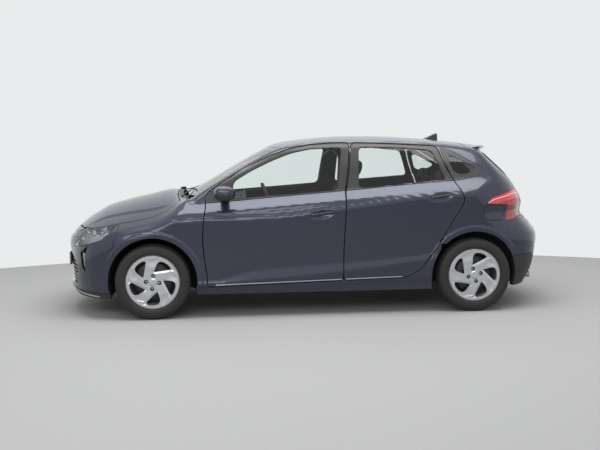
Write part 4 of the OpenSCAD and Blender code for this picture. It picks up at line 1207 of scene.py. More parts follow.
def swept(path, radius, sides=12, loop=False, squash=1.0):
    """Round bar along a path; radius may be one number or one for each point."""
    path = [Vector(p) for p in path]
    radii = radius if hasattr(radius, "__len__") else [radius] * len(path)
    up, rings = None, []
    for i, place in enumerate(path):
        before = path[i - 1] if (i or loop) else place
        after = path[(i + 1) % len(path)] if (i + 1 < len(path) or loop) else place
        way = (after - before).normalized()
        if up is None:
            up = way.orthogonal().normalized()
        up = (up - way * up.dot(way)).normalized()
        side = way.cross(up)
        rings.append([place + (up * math.cos(a) + side * math.sin(a) * squash) * radii[i] for a in
            circle(sides)])
    if loop:
        rings.append(rings[0])
    return loft(rings, caps=not loop)


def soft_box(low, high, radius=8.0, segments=3):
    """Block with rounded edges."""
    mesh = bmesh.new()
    bmesh.ops.create_cube(mesh, size=1)
    low, high = np.array(low, float), np.array(high, float)
    for v in mesh.verts:
        v.co = Vector((low + high) / 2 + np.array(v.co) * (high - low))
    bmesh.ops.bevel(mesh, geom=mesh.edges[:], offset=radius, segments=segments, profile=0.5,
        affect="EDGES")
    points = np.array([v.co[:] for v in mesh.verts])
    faces = [[v.index for v in f.verts] for f in mesh.faces]
    mesh.free()
    return Shape(points, faces, np.zeros_like(points))


def oval(count, half_a, half_b, power_a=1.0, power_b=1.0):
    """Points round an oval. A power below 1 makes it squarer in that direction."""
    return [(half_a * math.copysign(abs(math.cos(t)) ** power_a, math.cos(t)),
        half_b * math.copysign(abs(math.sin(t)) ** power_b, math.sin(t))) for t in circle(count)]


def moved(shape, by):
    return shape.reshaped(shape.points + np.array(by, float))


def half_turn(shape):
    """Turned by 180 degrees about the upright axis."""
    flip = np.array([-1, -1, 1])
    return Shape(shape.points * flip, shape.faces, shape.normals * flip)


def joined(shapes):
    whole = shapes[0]
    for shape in shapes[1:]:
        whole = whole.joined(shape)
    return whole


# %% [markdown]
# ## Wheels and tyres
#
# The wheels are pressed steel under a silver plastic cover. The cover has five swept spokes, each
# folded along one edge, and four openings where the wheel nuts show round a plain cap.

# %% Wheel cover
COVER_R = 207
COVER_OUT = 75.5
COVER_GROWTH = 1.045
WINDOW = [(225, 82.5), (415, 76), (490, 70), (508, 60), (512, 47), (505, 39), (474, 34.5),
    (328, 48)]
COVER_SCALE = COVER_R / 600
window_outline = [(r * COVER_SCALE * math.cos(math.radians(a)), r * COVER_SCALE *
    math.sin(math.radians(a))) for r, a in WINDOW]
NUT_CIRCLE, NUT_HOLE, FIRST_NUT = 50, 15.5, 84
nut_places = [(NUT_CIRCLE * math.cos(a), NUT_CIRCLE * math.sin(a)) for a in
    np.radians(np.arange(4) * 90 + FIRST_NUT)]
SPOKES = 5
RETURN_DEPTH = 13


def turn_outline(outline, degrees):
    c, s = math.cos(math.radians(degrees)), math.sin(math.radians(degrees))
    return [(c * y - s * z, s * y + c * z) for y, z in outline]


def from_line(p, a, b):
    """Distance from a line through a and b, positive on its left."""
    a, b = np.array(a), np.array(b)
    way = (b - a) / np.linalg.norm(b - a)
    return way[0] * (p[:, 2] - a[1]) - way[1] * (p[:, 1] - a[0])


def step_up(value, width):
    t = np.clip(value / width + 0.5, 0, 1)
    return t * t * (3 - 2 * t)


def cover_height(p):
    """Height of the cover's face over its flange, with folds along the spokes."""
    r = np.hypot(p[:, 1], p[:, 2])
    rim = step_up(COVER_R - r - 5, 12)
    height = -6 + 6 * rim - 7 * np.clip(1 - r / 170, 0, 1) ** 1.5
    for k in range(SPOKES):
        o = turn_outline(window_outline, 72 * k)
        outer, inner = o[-2], o[0]
        fold = from_line(p, outer, inner)
        reach = (r > 62) & (r < 182)
        crease = step_up(16 - np.abs(fold + 2), 5) * reach * step_up(r - 66, 14)
        length = ((p[:, 1] - outer[0]) * (inner[0] - outer[0])
                  + (p[:, 2] - outer[1]) * (inner[1] - outer[1])) \
            / ((inner[0] - outer[0]) ** 2 + (inner[1] - outer[1]) ** 2)
        on_edge = (length > -0.25) & (length < 1.05)
        height -= 5.5 * crease * on_edge * np.clip((17 - np.abs(fold)) / 17, 0, 1)
        ledge = turn_outline([(-34.5, 155.0), (31.0, 183.0)], 72 * k)
        over = from_line(p, *ledge)
        centre = turn_outline([(0, 165)], 72 * k)[0]
        near = np.clip(1.5 - np.hypot(p[:, 1] - centre[0], p[:, 2] - centre[1]) / 34, 0, 1)
        height -= 5 * near * step_up(-over, 4) * (r < 196)
    cap = step_up(28 - r, 4)
    return height + 4.5 * cap + 1.5 * step_up(22 - r, 3)


cover_r = np.concatenate([[0.5], steps(4, 202, 3.8), [204.5, 206, COVER_R]])
cover_a = np.radians(np.arange(0, 361, 1.8))
rr, aa = np.meshgrid(cover_r, cover_a, indexing="ij")
points = np.stack([0 * rr.ravel(), (rr * np.cos(aa)).ravel(), (rr * np.sin(aa)).ravel()], 1)
faces = grid_faces(*rr.shape)
for k in range(SPOKES):
    hole = within(soften(turn_outline(window_outline, 72 * k), 6))
    points, faces = clip(points, faces, lambda p, hole=hole: -hole(p))
for y, z in nut_places:
    points, faces = clip(points, faces, lambda p, y=y, z=z: np.hypot(p[:, 1] - y,
        p[:, 2] - z) - NUT_HOLE)
points[:, 0] = COVER_OUT + cover_height(points)
points[:, 1:] *= COVER_GROWTH
mesh = merged(points, faces, 0.02)
mesh.normal_update()
if sum(f.normal.x for f in mesh.faces) < 0:
    bmesh.ops.reverse_faces(mesh, faces=mesh.faces)
rim_of_sheet = [e for e in mesh.edges if len(e.link_faces) == 1]
turned_in = bmesh.ops.extrude_edge_only(mesh, edges=rim_of_sheet)["geom"]
for v in turned_in:
    if isinstance(v, bmesh.types.BMVert):
        v.co.x -= RETURN_DEPTH
cover = finished(mesh)
print("cover faces", len(cover.faces))

# %% Steel wheel, nuts and brake
steel_wheel = turned([(-84, 186), (-84, 192), (-76, 188), (-60, 172), (-20, 168), (38, 172),
    (58, 184), (66, 196), (68, 196), (62, 178), (44, 166), (28, 150), (40, 120), (44, 96),
    (40, 70), (38, 36), (38, 34), (30, 34), (32, 70), (36, 96), (32, 122), (18, 156), (-20, 162),
    (-62, 166), (-80, 184), (-84, 186)], 60)
nuts = joined([moved(turned([(40, 8.8), (60, 8.8), (63, 7.2), (63, 3.6), (61, 3.0), (61, 0.05)],
    6), (0, y, z)) for y, z in nut_places])
pockets = joined([moved(turned([(44, NUT_HOLE - 3), (66, NUT_HOLE - 0.8), (66, NUT_HOLE),
    (44, NUT_HOLE - 1), (44, NUT_HOLE - 3)], 24), (0, y, z)) for y, z in nut_places])
disc = turned([(-4, 62), (-4, 126), (0, 128), (6, 128), (10, 126), (10, 62), (10, 60), (-4, 60),
    (-4, 62)], 72)
drum = turned([(-30, 60), (-30, 112), (-24, 116), (14, 116), (22, 108), (24, 60), (24, 40),
    (-30, 40), (-30, 60)], 60)
valve = swept([(56, 60, -172), (64, 62, -166), (74, 64, -158)], [4.5, 4.0, 3.2], 10)

# %% [markdown]
# The tread has five long grooves and short cuts at the shoulders. Sidewalls bulge outward, with a
# thin rim-guard ring near the cover.

# %% Tyre
TYRE_PROFILE = [(-70, 192), (-82, 197), (-90, 212), (-92.3, 236), (-90.5, 262), (-84, 280),
    (-76, 289), (-68, 293.5), (-52, 296), (-50, 296), (-47, 296), (-40, 297), (-26, 297.4),
    (-24, 297.5), (-18, 297.6), (-16, 297.8), (-4, 298), (-3, 298), (3, 298), (4, 298),
    (16, 297.8), (18, 297.6), (24, 297.5), (26, 297.4), (40, 297), (47, 296), (50, 296), (52, 296),
    (68, 293.5), (76, 289), (84, 280), (88.5, 268), (90.5, 262), (90.9, 259), (92.3, 240),
    (91.5, 231), (89, 224), (84, 219.5), (76, 217.8), (68, 216), (60, 204)]
GROOVES = (-21, 0, 21, -48.5, 48.5)
GROOVE_HALF, GROOVE_DEPTH, CUT_DEPTH, SIPE_DEPTH = 3.6, 7, 5, 4
CUT_EVERY = 6
TYRE_TURNS = 228
rings = []
for k in range(TYRE_TURNS):
    angle = 2 * math.pi * k / TYRE_TURNS
    ring = []
    for x, r in TYRE_PROFILE:
        if r > 295.5 and any(abs(x - g) < GROOVE_HALF for g in GROOVES):
            r -= GROOVE_DEPTH
        elif r > 292 and abs(x) > 51 and k % CUT_EVERY == 0:
            r -= CUT_DEPTH
        elif r > 293 and 24 <= abs(x) <= 46 and (k + int(abs(x) / 12)) % CUT_EVERY == 3:
            r -= SIPE_DEPTH
        ring.append((x, r * math.cos(angle), r * math.sin(angle)))
    rings.append(ring)
rings.append(rings[0])
tyre = loft(rings, caps=False)
print("tyre faces", len(tyre.faces))

# %% Place the wheels
REAR_TURN = 20


def rotated(shape, degrees):
    """Turned about the axle."""
    c, s = math.cos(math.radians(degrees)), math.sin(math.radians(degrees))
    turn = np.array([[1, 0, 0], [0, c, -s], [0, s, c]])
    return shape.reshaped(shape.points @ turn.T)


for end, axle, twist, brake, brake_finish in (("front", FRONT_AXLE, 0, disc, disc_steel),
                                              ("rear", REAR_AXLE, REAR_TURN, drum, dark_steel)):
    for side, sign in (("left", 1), ("right", -1)):
        body = end + "_wheel_" + side
        parts = (("tyre", tyre, tyre_rubber, ("tyre_" + end + "_" + side,), 38),
            ("cover", cover, silver, ("wheel_" + end + "_" + side,), 24),
            ("steel", steel_wheel, dark_steel, (), 40), ("nuts", nuts, bright_steel, (), 30),
            ("pockets", pockets, dark_steel, (), 30), ("brake", brake, brake_finish, (), 30),
            ("valve", valve, seal_rubber, (), 40))
        for name, shape, finish, nodes, angle in parts:
            shape = rotated(shape, twist)
            shape = shape if sign > 0 else half_turn(shape)
            piece("_".join((name, end, side)), moved(shape, (sign * HALF_TRACK, axle, AXLE_Z)),
                finish, body, nodes, angle)
# %% [markdown]
# ## Lamps
#
# A lamp is a clear or red cover that follows the body. The headlamp has a reflector bowl and two
# round lenses behind its cover, and a black strip along its top. A white light stands in the slot
# at each corner of the bumper.

# %% Headlamps
head_s = (along(-1990) - 300, along(-1530) + 10, 8)
near_front = lambda p: -1500 - p[:, 1]
head_keeps = [headlamp, beyond(bonnet, 1), near_front, arches]
pair("headlamp_cover", skin(round_car, head_s, (540, 790, 7), head_keeps, roll=1.5), lamp_cover,
    "body", ("headlamps",))
pair("headlamp_bowl", skin(round_car, head_s, (535, 795, 7), [grown(headlamp, 1), near_front],
    depth=52, flange=0), reflector)
HEAD_LINE = [(-1985, 641), (-1930, 660), (-1800, 712), (-1700, 738), (-1548, 776)]
top_strip = all_of(headlamp, above(HEAD_LINE, 6), near_front)
pair("headlamp_frame", skin(round_car, head_s, (600, 790, 5), [top_strip], depth=3.5, roll=1.0),
    gloss_black)
LAMP_MIDDLES = [(-1775, 655, 42), (-1680, 690, 34)]
for number, (y, z, r) in enumerate(LAMP_MIDDLES):
    trial = np.arange(900.0, 300.0, -4.0)
    depths = outside(np.stack([trial, np.full_like(trial, y), np.full_like(trial, z)], 1))
    x = float(trial[np.argmax(depths < -(r + 6))])
    lens = turned([(-34, 8), (-30, r - 8), (-8, r), (6, r), (6, r - 3), (0, r - 5), (-4, r * 0.7),
        (4, r * 0.45), (7, 0.05)], 40, "x")
    tilt = np.array([[math.cos(0.9), math.sin(0.9), 0], [-math.sin(0.9), math.cos(0.9), 0],
        [0, 0, 1]])
    lens = lens.reshaped(lens.points @ tilt.T)
    pair(f"headlamp_lens_{number}", moved(lens, (x, y, z)), reflector)
slot_keeps = [grown(corner_slot, 3)]
pair("corner_slot_back", skin(round_car, head_s, (350, 600, 6), slot_keeps, depth=34, flange=0),
    black_plastic)
pair("corner_slot_wall", skin(round_car, head_s, (350, 600, 5), [grown(corner_slot, 1),
    beyond(grown(corner_slot, -2))], depth=2, roll=0.5, flange=32), gloss_black)
SLOT_LIGHT = within(soften([(-1856, 520), (-1846, 520), (-1838, 410), (-1846, 402)], 3))
pair("corner_light", skin(round_car, (along(-1990) - 60, along(-1530), 3), (395, 525, 4),
    [SLOT_LIGHT], depth=22, roll=1.0, flange=8), lamp_white)

# %% Tail lamps
lamp_s = (along(1370), along(1300) + 620, 7)
UPPER_BAR = [(1375, 842), (1560, 884), (1700, 902), (2100, 905)]
UPPER_LINE = [(1380, 868), (1440, 898), (1560, 925), (1660, 944), (2100, 950)]
lamp_keeps = [tail_lamp, beyond(tailgate, GAP), past(1370)]
upper = skin(round_car, lamp_s, (725, 985, 6), lamp_keeps + [above(UPPER_BAR, 1)], roll=2)
lower = skin(round_car, lamp_s, (725, 985, 6), lamp_keeps + [below(UPPER_BAR, 1)], roll=2, depth=2)
pair("tail_lamp_upper", upper, red_bright, "body", ("tail_lamps",))
pair("tail_lamp_lower", lower, red_deep)
line = skin(round_car, lamp_s, (850, 960, 3), lamp_keeps + [above(UPPER_LINE, 1),
    below([(y, z + 7) for y, z in UPPER_LINE], 1)], depth=-0.8, roll=0.5, flange=2)
pair("tail_lamp_line", line, lamp_white)

# %% [markdown]
# ## Grille, plates and bumper trim
#
# The wide black opening at the front holds stacked bars. The number plates are blank. A thin
# bright strip runs along the foot of the front bumper.

# %% Grille
def across_nose(z, half_width, depth, radius):
    """Bar that follows the nose at one level."""
    places = []
    for x in np.linspace(-half_width, half_width, 41):
        places.append((x, at(nose_y, x, z) + depth, z))
    return swept(places, radius, 8)


bars = [across_nose(z, w, 26, 5.0) for z, w in ((528, 350), (500, 410), (472, 500), (444, 540),
    (416, 570), (388, 590), (360, 590), (332, 584), (304, 574), (276, 560))]
piece("grille_bars", joined(bars), gloss_black, "body", ("grille",), 40)
piece("grille_back", skin(round_car, bumper_s, (232, 566, 14), [grown(grille, 4)], depth=52,
    flange=0), black_plastic)
ribs = []
for x in np.arange(-560, 561, 40):
    low = [(x, at(nose_y, x, z) + 30, z) for z in np.linspace(262,
        520 - max(0, abs(x) - 380) * 0.3, 12)]
    ribs.append(swept(low, 2.6, 6))
piece("grille_ribs", joined(ribs), black_plastic, crease=40)
rim_shape = skin(round_car, bumper_s, (232, 566, 5), [grille, beyond(grown(grille, -5))], depth=1,
    roll=1.2, flange=44)
piece("grille_rim", rim_shape, gloss_black)


def plate(name, y, z, sign, body="body"):
    """Blank number plate with a raised border and two screw heads. The sign is its facing."""
    base = soft_box((-260, y - 3, z - 55), (260, y + 3, z + 55), 2.0, 2)
    screws = [moved(turned([(0, 0.05), (0.5, 4), (2, 5), (3, 5)], 16, "y"),
        (x, y + sign * 5, z)) for x in (-180, 180)]
    border = swept([(-254, y + sign * 3, z - 49), (254, y + sign * 3, z - 49),
        (254, y + sign * 3, z + 49), (-254, y + sign * 3, z + 49)], 2.2, 6, loop=True)
    piece(name, base, plate_white, body, crease=30)
    piece(name + "_border", border.joined(*screws), black_plastic, body, crease=30)


front_plate_y = at(nose_y, 0, 455) + 21
rear_plate_y = at(tail_y, 0, 575) - 14
plate("plate_front", front_plate_y, 430, -1)
plate("plate_rear", rear_plate_y, 572, 1)
strip = skin(round_car, bumper_s, (170, 220, 3), [within([(-2100, 214), (-1950, 207), (-1800, 194),
    (-1712, 186), (-1712, 178), (-1800, 182), (-1950, 196), (-2100, 203)])], depth=2, roll=1.2,
    flange=10)
piece("splitter_strip", strip, silver)
# Painted reflection: a thin silver strip along the foot of each door puts in the bright line that
# the door's lower edge reflects. The car has no such trim there, only body paint.
door_foot_reflection = within([(-800, 272), (700, 304), (700, 296), (-800, 262)])
for label, door_keep in (("front_door", front_door), ("rear_door", rear_door)):
    pair(label + "_sill_trim", skin(round_car, (along(-820), along(720), 10), (255, 310, 3),
        [door_foot_reflection, grown(door_keep, -5)], depth=-0.2, roll=0.8, flange=2), silver, label + "_*")
upper_grille = joined([across_nose(z, 388, 20, 3.2) for z in (640, 651, 662)])
piece("upper_slot_bars", upper_grille, gloss_black, crease=40)
piece("upper_slot_back", skin(round_car, bumper_s, (620, 682, 8), [grown(upper_slot, 4)], depth=34,
    flange=0), black_plastic)
REAR_TRIM = [(1838, 560), (1850, 566), (1838, 444), (1826, 440)]
pair("rear_corner_trim", skin(round_car, (along(1300) + 380, TRACK_END - 400, 3), (435, 570, 4),
    [within(soften(REAR_TRIM, 4))], depth=1, roll=1.0, flange=3), silver)

# %% [markdown]
# ## Mirrors and handles
#
# The mirrors stand on the doors. Each has a painted upper shell, a black lower shell and a glass
# that faces backwards. The door handles are pull bars in body colour over a dark recess.

# %% Door mirrors
def mirror_ring(t):
    """Section of the mirror's shell at t, from the inner end to the outer."""
    reach = 880 + 105 * t
    grow = math.sqrt(max(0.0, 1 - (abs(2 * t - 1)) ** 5))
    forward, back = -800 + 20 * t * t, -630 - 6 * t
    low, high = 934 + 4 * t, 1051 - 10 * t
    centre_y, centre_z = (forward + back) / 2, (low + high) / 2
    half_y = (back - forward) / 2 * (0.25 + 0.75 * grow)
    half_z = (high - low) / 2 * (0.25 + 0.75 * grow)
    return [(reach, min(centre_y + dy, back - 4), centre_z + dz) for dy,
        dz in oval(28, half_y, half_z, 0.72, 0.8)]


def part_of(shape, keep):
    """The faces of a shape whose middles pass the test."""
    middles = [shape.points[f].mean(0) for f in shape.faces]
    return Shape(shape.points, [f for f, m in zip(shape.faces, middles) if keep(m)], shape.normals)


shell = loft([mirror_ring(t) for t in np.linspace(0, 1, 20)])
MIRROR_SPLIT = 988
pair("mirror_upper", part_of(shell, lambda m: m[2] > MIRROR_SPLIT), paint, "front_door_*",
    ("mirror_*",))
pair("mirror_lower", part_of(shell, lambda m: m[2] <= MIRROR_SPLIT), black_plastic, "front_door_*")
glass_ring = [[(932 + dx * k, -636 + 3.0 * (1 - k), 993 + dz * k) for dx,
    dz in oval(32, 42, 44, 0.6, 0.7)] for k in (0.02, 0.5, 0.96, 1.0)]
pair("mirror_glass", loft(glass_ring, caps=False), mirror_glass, "front_door_*")
arm = loft([[(x, -716 + dy, z + dz) for dy, dz in oval(16, hy, hz)] for x, z, hy,
    hz in ((775, 955, 38, 14), (800, 957, 36, 15), (850, 960, 34, 15), (895, 966, 30, 14),
    (930, 975, 26, 12))])
pair("mirror_arm", arm, black_plastic, "front_door_*")
SAIL = within(soften([(-800, 920), (-655, 935), (-655, 1075), (-700, 1045), (-800, 975)], 8))
pair("mirror_sail", skin(round_car, (along(-830), along(-640), 6), (905, 1090, 6),
    [SAIL, above(WAIST, 2), front_door], depth=-1.2, roll=1.2, flange=3), black_plastic,
    "front_door_*")

# %% Door handles
for label, (hy, hz), door_name in (("front", HANDLES[0], "front_door"),
                                   ("rear", HANDLES[1], "rear_door")):
    grip = []
    for t in np.linspace(-1, 1, 21):
        y = hy + 108 * t
        z = hz + 108 * t * HANDLE_RISE + 3
        x = float(side_x(np.array([y, y]), np.array([z + 58.0, z - 58.0])).mean())
        stand = 14 * (1 - abs(t) ** 6) - 6
        grip.append((x + stand, y, z))
    widths = [6 + 9 * (1 - abs(t) ** 5) for t in np.linspace(-1, 1, 21)]
    cup = [(hy + dy, hz + 4 + dy * HANDLE_RISE + dz) for dy, dz in oval(32, 98, 27)]
    pair(label + "_handle_cup", skin(round_car, (along(hy - 110), along(hy + 110), 7),
        (hz - 42, hz + 50, 5), [within(cup)], depth=-0.8, roll=0.1, flange=0), gloss_black,
        door_name + "_*")
    pair(label + "_handle", swept(grip, widths, 14, squash=0.55), paint, door_name + "_*")
    lock = moved(turned([(-3, 7), (0.5, 7), (1, 6), (1, 0.05)], 20),
        (grip[3][0] - 2, hy + 128, hz + 18))
    pair(label + "_lock", lock, black_plastic, door_name + "_*")
print("made so far", len(made))
# %% [markdown]
# ## Seats
#
# A seat is foam under a sewn cover. The foam's shape is roughed out, the cover is then blown up a
# little by a cloth simulation so that it crowns between its edges, and the sewn channels are
# pressed in afterwards.

# %% Padded seats
PRESSURE = 4.0


def cushion(name, shape, seams, nodes=(), voxel=20, swell=14.0, finish=seat_cloth,
            copies=()):
    """Padded piece: remeshed, inflated as cloth, seamed, and fixed to the body. Returns its
    object.
    """
    mesh = bpy.data.meshes.new(name)
    mesh.from_pydata(((shape.points + [0, MID, 0]) * MM).tolist(), [], shape.faces)
    obj = bpy.data.objects.new(name, mesh)
    bpy.context.scene.collection.objects.link(obj)
    bpy.context.view_layer.objects.active = obj
    remesh = obj.modifiers.new("remesh", "REMESH")
    remesh.mode = "VOXEL"
    remesh.voxel_size = voxel * MM
    bpy.ops.object.modifier_apply(modifier=remesh.name)
    count = len(obj.data.vertices)
    start = np.empty(count * 3)
    obj.data.vertices.foreach_get("co", start)
    cloth = obj.modifiers.new("cloth", "CLOTH")
    cloth.settings.use_pressure = True
    cloth.settings.uniform_pressure_force = PRESSURE
    cloth.settings.effector_weights.gravity = 0.0
    frames = 16
    cloth.point_cache.frame_start, cloth.point_cache.frame_end = 1, frames
    for frame_number in range(1, frames + 1):
        bpy.context.scene.frame_set(frame_number)
    bpy.ops.object.modifier_apply(modifier=cloth.name)
    bpy.context.scene.frame_set(1)
    end = np.empty(count * 3)
    obj.data.vertices.foreach_get("co", end)
    start, end = start.reshape(-1, 3), end.reshape(-1, 3)
    move = end - start
    size = np.linalg.norm(move, axis=1, keepdims=True)
    cap = swell * MM
    end = start + move * np.minimum(1, cap / np.maximum(size, 1e-9))
    normals = np.empty(count * 3)
    obj.data.vertices.foreach_get("normal", normals)
    normals = normals.reshape(-1, 3)
    local = end / MM - [0, MID, 0]
    for distance, depth, width in seams:
        gap = distance(local)
        end = end - normals * (depth * MM * np.exp(-(gap / width) ** 2))[:, None]
    obj.data.vertices.foreach_set("co", end.ravel())
    smooth = obj.modifiers.new("smooth", "SUBSURF")
    smooth.levels = smooth.render_levels = 1
    bpy.ops.object.modifier_apply(modifier=smooth.name)
    obj.data.polygons.foreach_set("use_smooth", [True] * len(obj.data.polygons))
    obj.data.materials.clear()
    obj.data.materials.append(finish.material)
    made[name] = obj
    results = [obj]
    for copy_name, shift in copies:
        twin = bpy.data.objects.new(copy_name, obj.data.copy())
        bpy.context.scene.collection.objects.link(twin)
        for v in twin.data.vertices:
            v.co.x += shift * MM
        results.append(twin)
        made[copy_name] = twin
    for k, one in enumerate(results):
        if nodes and k == 0:
            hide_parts(*nodes)
        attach(one, "body")
    print(name, "moved by up to", round(float(size.max()) / MM), "mm,", count, "points")
    return results


def prism(outline, half_width, pinch=0.0, centre=0.0, across=10):
    """Side outline given a width, pulled in towards both sides by pinch."""
    outline = soften(outline, 40, 3)
    middle_point = outline.mean(0)
    rings = []
    for x in np.linspace(-1, 1, across):
        pull = 1 - pinch * abs(x) ** 4
        ring = middle_point + (outline - middle_point) * pull
        rings.append(np.stack([np.full(len(ring), centre + x * half_width), ring[:, 0],
            ring[:, 1]], 1))
    return loft(rings)


SEAT_X = middle("steering_wheel").x
SEAT_HALF = 228
seat_base = [(-312, 420), (-300, 352), (-240, 332), (130, 330), (215, 350), (205, 452), (150, 486),
    (-60, 462), (-260, 452)]
seat_back = [(215, 372), (262, 430), (340, 700), (412, 1010), (400, 1052), (352, 1050), (318, 980),
    (238, 720), (190, 520), (178, 440)]
head_rest = [(368, 1092), (408, 1088), (430, 1130), (448, 1205), (430, 1228), (398, 1222),
    (378, 1160)]


def stripe(centre, half_width):
    """Distance from two seams along the car."""
    return lambda p: np.abs(np.abs(p[:, 0] - centre) - half_width)


def channels(axis, shift, pitch, half_width=99e9, centre=0.0):
    """Distance from seams across the seat, a pitch apart."""
    return lambda p: np.where(np.abs(p[:, 0] - centre) < half_width,
        np.abs((p[:, axis] + shift) % pitch - pitch / 2), 99)


front_seams = [(stripe(SEAT_X, 128), 9, 11), (channels(1, 40, 120, 128, SEAT_X), 4, 9)]
back_seams = [(stripe(SEAT_X, 122), 9, 11), (channels(2, -20, 130, 122, SEAT_X), 4, 9)]
cushion("seat_cushion_left", prism(seat_base, SEAT_HALF, 0.1, SEAT_X), front_seams,
    ("front_seats",), copies=(("seat_cushion_right", -2 * SEAT_X),))
cushion("seat_back_left", prism(seat_back, SEAT_HALF - 12, 0.12, SEAT_X), back_seams,
    copies=(("seat_back_right", -2 * SEAT_X),))
cushion("head_rest_left", prism(head_rest, 118, 0.25, SEAT_X), [], voxel=12, swell=7,
    copies=(("head_rest_right", -2 * SEAT_X),), finish=seat_side)
rear_base = [(604, 470), (622, 400), (680, 370), (930, 372), (985, 420), (985, 535), (900, 516),
    (640, 508)]
rear_back = [(1010, 540), (1060, 530), (1112, 640), (1172, 1010), (1150, 1040), (1104, 1034),
    (1050, 800)]
REAR_HALF = 588
rear_stripes = [(stripe(0, 110), 9, 13), (stripe(0, 470), 7, 13)]
rear_seams = rear_stripes + [(channels(1, -20, 150), 4, 11)]
rear_back_seams = rear_stripes + [(channels(2, -20, 150), 4, 11)]
cushion("rear_cushion", prism(rear_base, REAR_HALF, 0.08, 0, 24), rear_seams, ("rear_seat",),
    voxel=22)
cushion("rear_backrest", prism(rear_back, REAR_HALF - 10, 0.1, 0, 24), rear_back_seams, voxel=22)
rear_head = [(1098, 1056), (1150, 1052), (1168, 1090), (1172, 1136), (1130, 1142), (1110, 1110)]
cushion("rear_head_rest_left", prism(rear_head, 108, 0.25, SEAT_X), [], voxel=12, swell=6,
    copies=(("rear_head_rest_right", -2 * SEAT_X),), finish=seat_side)

# %% [markdown]
# ## Cabin fittings
#
# The dashboard is a padded top over a lower moulding, with a hooded instrument panel, a screen and
# four air vents. The steering wheel is wrapped in leather and has three spokes.

# %% Dashboard and console
DASH = [(-1010, 700), (-1010, 872), (-905, 915), (-700, 936), (-590, 928), (-530, 890),
    (-512, 840), (-530, 760), (-585, 690), (-640, 655)]


def dash_bend(p):
    """The face curves away from the driver towards the doors."""
    p = p.copy()
    p[:, 1] -= 60 * (np.abs(p[:, 0]) / 640) ** 3 * (p[:, 1] > -800)
    return p


dash = prism(DASH, 640, 0.05, 0, 30)
piece("dashboard_top", dash.reshaped(dash_bend(dash.points)), cabin_plastic, "body",
    ("dashboard",), 40)
hood = loft([[(SEAT_X + 150 * math.cos(a), y, 905 + h * math.sin(a)) for a in np.linspace(0,
    math.pi, 20)] for y, h in ((-700, 30), (-640, 62), (-560, 78), (-540, 76), (-545, 70))],
    caps=False, around=False)
piece("instrument_hood", hood, cabin_plastic, crease=60)
piece("instrument_screen", soft_box((SEAT_X - 132, -588, 880), (SEAT_X + 132, -578, 958), 4),
    gloss_black, crease=30)
piece("centre_screen", soft_box((-125, -560, 850), (125, -540, 990), 6), gloss_black, "body", (),
    30)
vents = []
for x in (-590, -170, 170, 590):
    vents.append(soft_box((x - 48, -545 - 40 * (abs(x) > 400), 800),
        (x + 48, -508 - 60 * (abs(x) > 400), 850), 8))
    for z in (812, 825, 838):
        vents.append(soft_box((x - 42, -512 - 60 * (abs(x) > 400), z - 2),
            (x + 42, -502 - 60 * (abs(x) > 400), z + 2), 1, 1))
piece("air_vents", joined(vents), gloss_black, crease=30)
knobs = [moved(turned([(0, 15), (-14, 14), (-17, 11), (-17, 0.05)], 28, "y"),
    (x, -512, 742)) for x in (-60, 0, 60)]
console = loft([[(x, y, low + (high - low) * (0.5 + half)) for x, half in oval(32, w, 0.5, 0.4,
    0.4)] for y, w, low, high in ((-650, 88, 260, 740), (-540, 88, 258, 730), (-450, 86, 258, 560),
    (-380, 84, 258, 448), (0, 82, 258, 436), (240, 78, 258, 432), (255, 70, 262, 420))])
piece("console", console, cabin_plastic, crease=40)
lever = swept([(0, -330, 436), (0, -326, 500), (0, -318, 540)], [9, 7, 7], 14)
gaiter = turned([(436, 46), (450, 38), (470, 24), (492, 14), (505, 9)], 28, "z", (0, -328, 0))
knob = moved(turned([(-24, 0.05), (-22, 12), (-8, 22), (8, 25), (20, 20), (26, 8), (27, 0.05)], 24,
    "z"), (0, -316, 560))
brake_lever = swept([(38, 40, 440), (38, -60, 462), (38, -160, 476)], [12, 13, 15], 14)
piece("levers", joined([lever, knob, brake_lever, *knobs]), leather, crease=50)
piece("gear_gaiter", gaiter, leather, crease=60)
pedals = [soft_box((x - w, -800, z), (x + w, -786, z + h), 3) for x, w, z,
    h in ((250, 26, 330, 110), (350, 34, 345, 60), (445, 34, 345, 60))]
arms = [swept([(x, -793, z), (x, -850, 520), (x, -880, 640)], 7, 8) for x,
    z in ((250, 430), (350, 380), (445, 380))]
piece("pedals", joined(pedals + arms), dark_steel, crease=40)

# %% Steering wheel
COLUMN_TILT = math.radians(24)
column_centre = np.array([SEAT_X, -330.0, 880.0])


def on_column(shape):
    """From the wheel's own frame, with Z along the column, to the car."""
    c, s = math.cos(COLUMN_TILT), math.sin(COLUMN_TILT)
    turn = np.array([[-1, 0, 0], [0, -s, c], [0, c, s]])
    return moved(shape.reshaped(shape.points @ turn.T), column_centre)


RIM_R = 171
rim_path = [(x, y, 0) for x, y in oval(72, RIM_R, RIM_R)]
rim_radii = [13.5 + 1.6 * math.exp(-((a % 36 - 30) / 2.5) ** 2) for a in range(72)]
hub = loft([[(x, y + 4, z) for x, y in oval(40, w, h, 0.75, 0.75)] for w, h,
    z in ((30, 30, -44), (58, 50, -30), (62, 54, -6), (60, 52, 6), (50, 42, 13), (30, 26, 16))])
spokes = []
for angle in (8, 172, 270):
    c, s = math.cos(math.radians(angle)), math.sin(math.radians(angle))
    spokes.append(loft([[(c * r - s * w * math.cos(a), s * r + c * w * math.cos(a),
        z + t * math.sin(a)) for a in circle(16)] for r, w, t, z in ((46, 24, 12, -6),
        (90, 17, 9, -4), (130, 15, 8, -2), (166, 17, 8, 0))]))
piece("steering_rim", on_column(swept(rim_path, rim_radii, 16, loop=True)), leather,
    "steering_wheel", ("steering_wheel",), 50)
piece("steering_hub", on_column(hub.joined(*spokes)), cabin_plastic, "steering_wheel", crease=50)
column = on_column(turned([(-260, 30), (-258, 40), (-90, 34), (-62, 30), (-60, 24)], 28, "z"))
